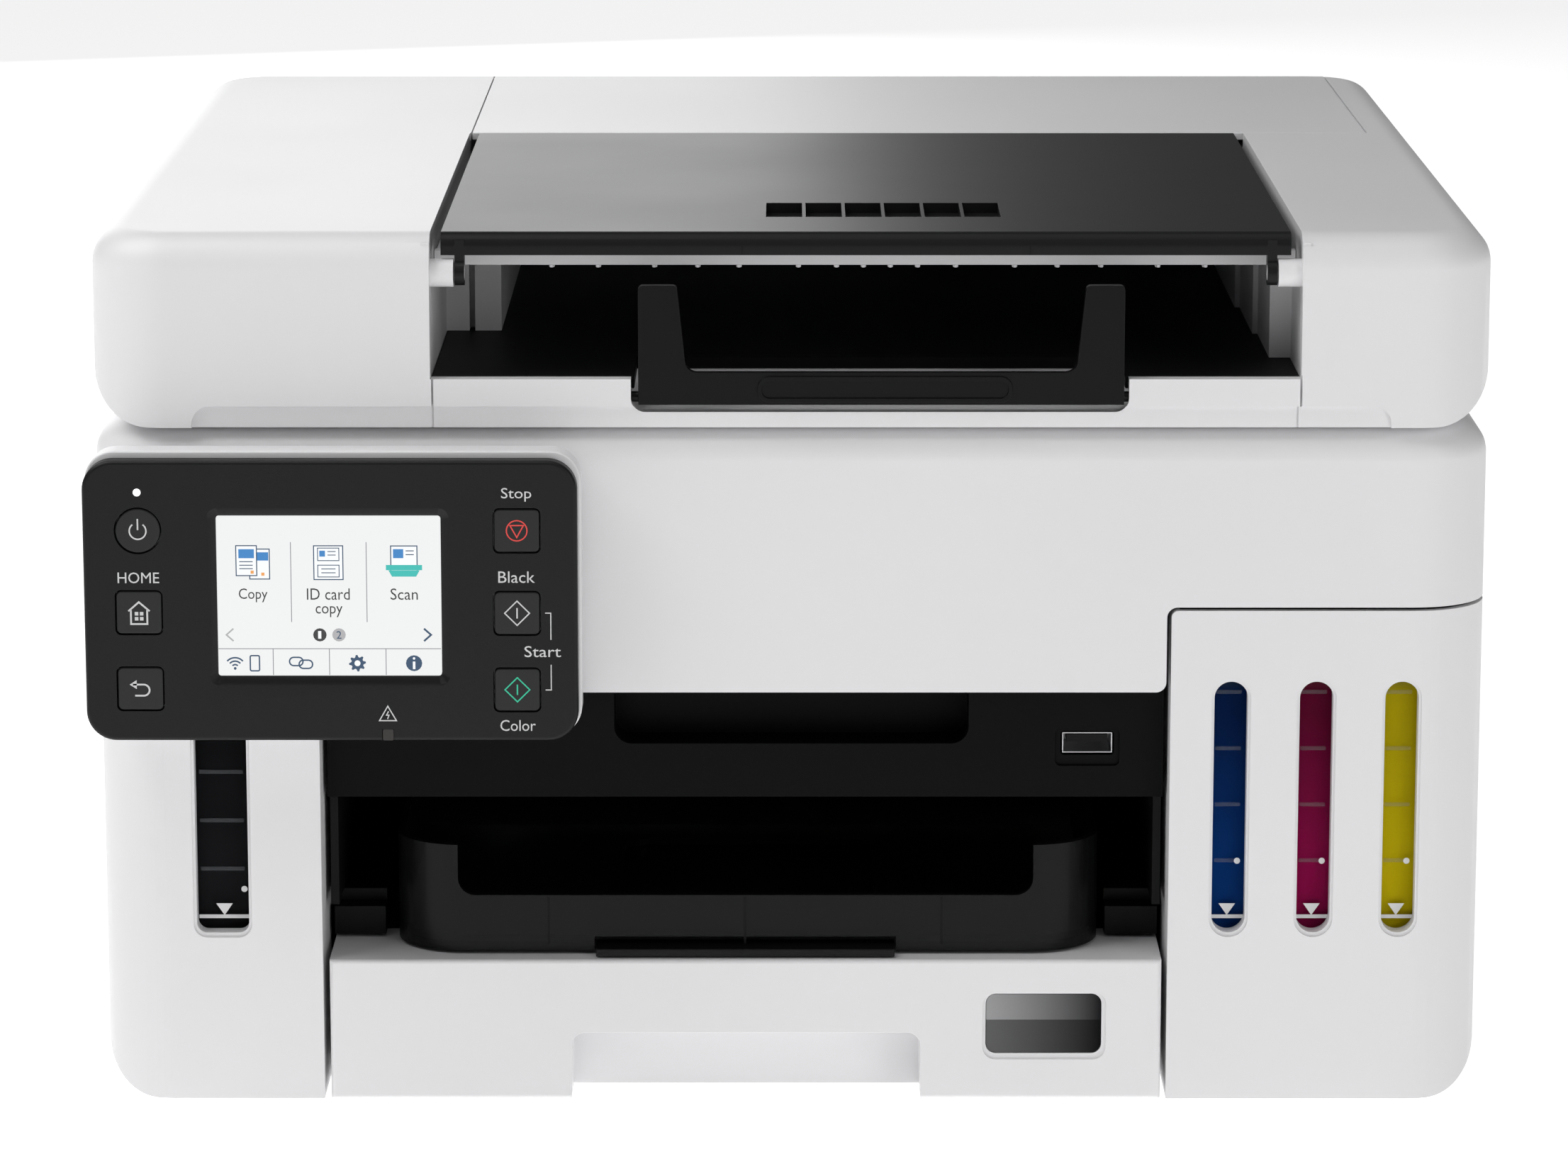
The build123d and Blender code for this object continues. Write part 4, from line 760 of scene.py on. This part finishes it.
def return_arrow(sign):
    """Hooked arrow that points back."""
    x, z = -184.0, 127.5
    hook = [(x - 2.2, z + 1.2), (x + 0.9, z + 1.2)] + arc(x + 0.9, z - 0.4, 1.6, 80, -80, 10)
    stroke(sign, hook + [(x + 0.9, z - 2.0), (x - 1.6, z - 2.0)], 0.5, sign_front, sign_depth)
    plate(sign, [(x - 3.1, z + 1.2), (x - 1.1, z - 0.1), (x - 1.1, z + 2.5)], sign_front, sign_depth)


def stop_sign(sign):
    """Ring round a triangle that points down."""
    x, z = -77.3, 173.0
    stroke(sign, arc(x, z, 2.9, 0, 348, 30), 0.36, sign_front, sign_depth, 0, True)
    triangle = [(x - 1.9, z + 1.5), (x, z - 1.9), (x + 1.9, z + 1.5)]
    stroke(sign, triangle, 0.36, sign_front, sign_depth, 0, True)


def start_sign(x, z):
    """Diamond with an upright bar."""
    def draw(sign):
        diamond = [(x - 3.5, z), (x, z - 3.5), (x + 3.5, z), (x, z + 3.5)]
        stroke(sign, diamond, 0.36, sign_front, sign_depth, 0, True)
        stroke(sign, [(x, z - 1.5), (x, z + 1.5)], 0.4, sign_front, sign_depth)
    return draw


key_sign("power_button", power_ring, legend_grey)
key_sign("home_button", house, legend_grey)
key_sign("back_button", return_arrow, legend_grey)
key_sign("stop_button", stop_sign, legend_red)
key_sign("mono_start_button", start_sign(-77.4, 149.3), legend_grey)
key_sign("color_start_button", start_sign(-77.5, 127.2), legend_green)


# ---- Touch screen ----
# A small lit display with a plain menu: three large signs for copying, cards and scanning, page
# dots under them, and a bar with signs for wireless, links, settings and help.
screen_front = -203.4
menu_depth = 0.03
ink_front = screen_front - menu_depth
menu_dark, menu_line, menu_blue, menu_teal, menu_orange, menu_white, menu_grey, menu_navy = range(8)
menu_finishes = [
    glowing("menu_dark", (0.02, 0.02, 0.022)), glowing("menu_line", (0.22, 0.23, 0.25)),
    glowing("menu_blue", (0.03, 0.22, 0.55)), glowing("menu_teal", (0.03, 0.50, 0.45)),
    glowing("menu_orange", (0.85, 0.35, 0.08)), glowing("menu_white", (0.93, 0.95, 0.96)),
    glowing("menu_grey", (0.42, 0.42, 0.43)), glowing("menu_navy", (0.015, 0.06, 0.13))]
moulded("touch_screen", glowing("screen_light", (0.85, 0.86, 0.86)), 0.2, 2)
menu = bmesh.new()


def menu_line_at(points, width=0.22, finish=menu_navy, closed=False, lift=0.0):
    """Line in the menu picture, raised a little where it crosses another part of it."""
    stroke(menu, points, width, ink_front - lift, menu_depth, finish, closed)


def menu_patch(x, z, width, height, finish, corner=0.0, lift=0.0):
    """Filled patch in the menu picture."""
    plate(menu, oblong(x, z, width, height, corner), ink_front - lift, menu_depth, finish)


def page(x, z, width, height, lift=0.0):
    """Small sheet of paper with a navy outline."""
    menu_patch(x, z, width, height, menu_white, 0.0, lift)
    menu_line_at(oblong(x, z, width, height), 0.3, menu_navy, True, lift + 0.03)


for word, word_x, word_z in (
        ("Copy", (-155.9, -147.8), (152.2, 156.2)), ("ID card", (-136.7, -124.6), (152.9, 156.2)),
        ("copy", (-134.3, -126.7), (147.9, 151.1)), ("Scan", (-113.1, -105.4), (152.9, 156.2))):
    lettering(menu, word, word_x, word_z, ink_front, menu_depth, menu_dark)
for divider_x in (-141.1, -119.8):
    menu_line_at([(divider_x, 146.5), (divider_x, 169.5)], 0.22, menu_line)
menu_line_at([(-161.9, 138.8), (-99.0, 138.8)], 0.22, menu_line)
for divider_x in (-146.5, -130.6, -114.6):
    menu_line_at([(divider_x, 131.2), (divider_x, 138.7)], 0.22, menu_line)
menu_line_at([(-157.6, 144.6), (-159.6, 142.8), (-157.6, 141.0)], 0.45, menu_grey)
menu_line_at([(-103.8, 144.6), (-101.8, 142.8), (-103.8, 141.0)], 0.55, menu_navy)
menu_patch(-133.2, 142.8, 3.8, 3.8, menu_dark, 1.9)
lettering(menu, "1", (-133.7, -132.8), (141.7, 143.9), ink_front - 0.03, menu_depth, menu_white)
menu_patch(-127.8, 142.8, 3.8, 3.8, menu_grey, 1.9)
lettering(menu, "2", (-128.5, -127.1), (141.7, 143.9), ink_front - 0.03, menu_depth, menu_navy)

page(-149.9, 163.2, 5.6, 8.6)
menu_patch(-149.0, 165.4, 3.2, 2.4, menu_blue, 0.0, 0.04)
menu_patch(-149.0, 160.3, 0.9, 0.9, menu_orange, 0.0, 0.04)
page(-153.6, 164.2, 5.8, 8.6, 0.08)
menu_patch(-153.6, 166.2, 4.4, 2.6, menu_blue, 0.0, 0.13)
for line_z in (163.9, 162.9, 161.9):
    menu_line_at([(-155.6, line_z), (-151.8, line_z)], 0.26, menu_navy, False, 0.13)
menu_patch(-152.0, 160.9, 0.9, 0.9, menu_orange, 0.0, 0.13)

page(-130.5, 163.6, 8.2, 9.7)
menu_line_at(oblong(-130.5, 166.0, 6.0, 3.6), 0.24, menu_navy, True, 0.05)
menu_patch(-132.2, 166.2, 1.6, 1.7, menu_blue, 0.0, 0.05)
menu_line_at([(-130.7, 166.8), (-128.4, 166.8)], 0.24, menu_navy, False, 0.05)
menu_line_at([(-130.7, 165.8), (-128.4, 165.8)], 0.24, menu_navy, False, 0.05)
menu_line_at(oblong(-130.5, 161.2, 6.0, 3.4), 0.24, menu_navy, True, 0.05)
menu_line_at([(-132.5, 161.8), (-128.5, 161.8)], 0.24, menu_navy, False, 0.05)
menu_line_at([(-132.5, 160.7), (-128.5, 160.7)], 0.24, menu_navy, False, 0.05)

page(-109.2, 164.6, 7.4, 7.6)
menu_patch(-110.8, 166.2, 2.9, 2.6, menu_blue, 0.0, 0.05)
menu_line_at([(-108.7, 167.0), (-106.4, 167.0)], 0.26, menu_navy, False, 0.05)
menu_line_at([(-108.7, 165.9), (-106.4, 165.9)], 0.26, menu_navy, False, 0.05)
menu_patch(-109.2, 162.2, 10.2, 1.5, menu_teal, 0.0, 0.08)
scanner_base = [(-112.6, 159.6), (-105.8, 159.6), (-104.8, 161.4), (-113.6, 161.4)]
plate(menu, scanner_base, ink_front - 0.08, menu_depth, menu_teal)

for radius in (1.0, 2.0, 3.0):
    menu_line_at(arc(-157.3, 133.2, radius, 42, 138, 10), 0.45, menu_navy)
menu_patch(-157.3, 133.1, 0.8, 0.8, menu_navy, 0.4)
menu_line_at(oblong(-151.7, 134.6, 2.6, 4.4, 0.4), 0.4, menu_navy, True)
for ring_x in (-140.0, -137.3):
    ring_z = 134.7 - 0.3 * (ring_x + 138.65)
    menu_line_at(oblong(ring_x, ring_z, 3.8, 2.4, 1.15), 0.42, menu_navy, True, 0.02 * (ring_x > -139))
gear = []
for tooth in range(32):
    gear_radius = 2.4 if tooth % 4 in (0, 1) else 1.75
    gear.append(arc(-122.7, 134.6, gear_radius, tooth * 11.25, tooth * 11.25, 1)[0])
plate(menu, gear, ink_front, menu_depth, menu_navy)
menu_patch(-122.7, 134.6, 1.7, 1.7, menu_white, 0.85, 0.03)
menu_patch(-106.7, 134.6, 4.6, 4.6, menu_navy, 2.3)
menu_patch(-106.7, 136.0, 0.7, 0.7, menu_white, 0.35, 0.03)
menu_patch(-106.7, 134.0, 0.7, 2.2, menu_white, 0.0, 0.03)
printed("screen_menu", menu, menu_finishes, "operation_panel", "screen")


# ---- Document feeder lid ----
# The white lid is one large moulding with soft corners. A grained black deck lies in its front
# opening with a ribbed white tray over it, and the pressure pad is a white film on foam.
for lid_piece in ("lid_frame", "feeder_cover"):
    moulded(lid_piece, white_abs, 0.5, 3)
moulded("document_tray", white_abs, 0.25)
deck_black = leather_grain("deck_black", (0.0035, 0.0035, 0.0038), 0.5, 1.0, 0.04, 0.08)
moulded("document_deck", deck_black, 0.2, 1)
pad_film = plastic("pad_film", (0.82, 0.82, 0.82), 0.4, 2.0, 0.02)
moulded("pressure_pad", pad_film, 0.4)
for guide in ("left_document_guide", "right_document_guide"):
    moulded(guide, tray_grey, 0.3)


# ---- Smoked parts of the lid ----
# The hinged cover over the document tray and the fold-down stopper in front of it are dyed
# smoke-grey polycarbonate: polished outside, finely textured on the stopper's broad faces.
smoke_cover = smoked("smoke_cover", (0.010, 0.010, 0.0105), 0.34, 0.95, 0.4, 0.006)
moulded("document_tray_cover", smoke_cover, 0.35, 3)
tab_lines = bmesh.new()
cover_front = -181.0
for line_x in (-14.0, 67.5):
    plate(tab_lines, oblong(line_x, 249.2, 0.35, 2.6), cover_front - 0.05, 0.1)
printed("cover_tab_lines", tab_lines, [duct_black], "document_tray_cover", "smoky_clear")
smoke_stop = smoked("smoke_stop", (0.003, 0.003, 0.0032), 0.32, 0.975, 0.6, 0.02)
moulded("document_stopper", smoke_stop, 0.6, 3)
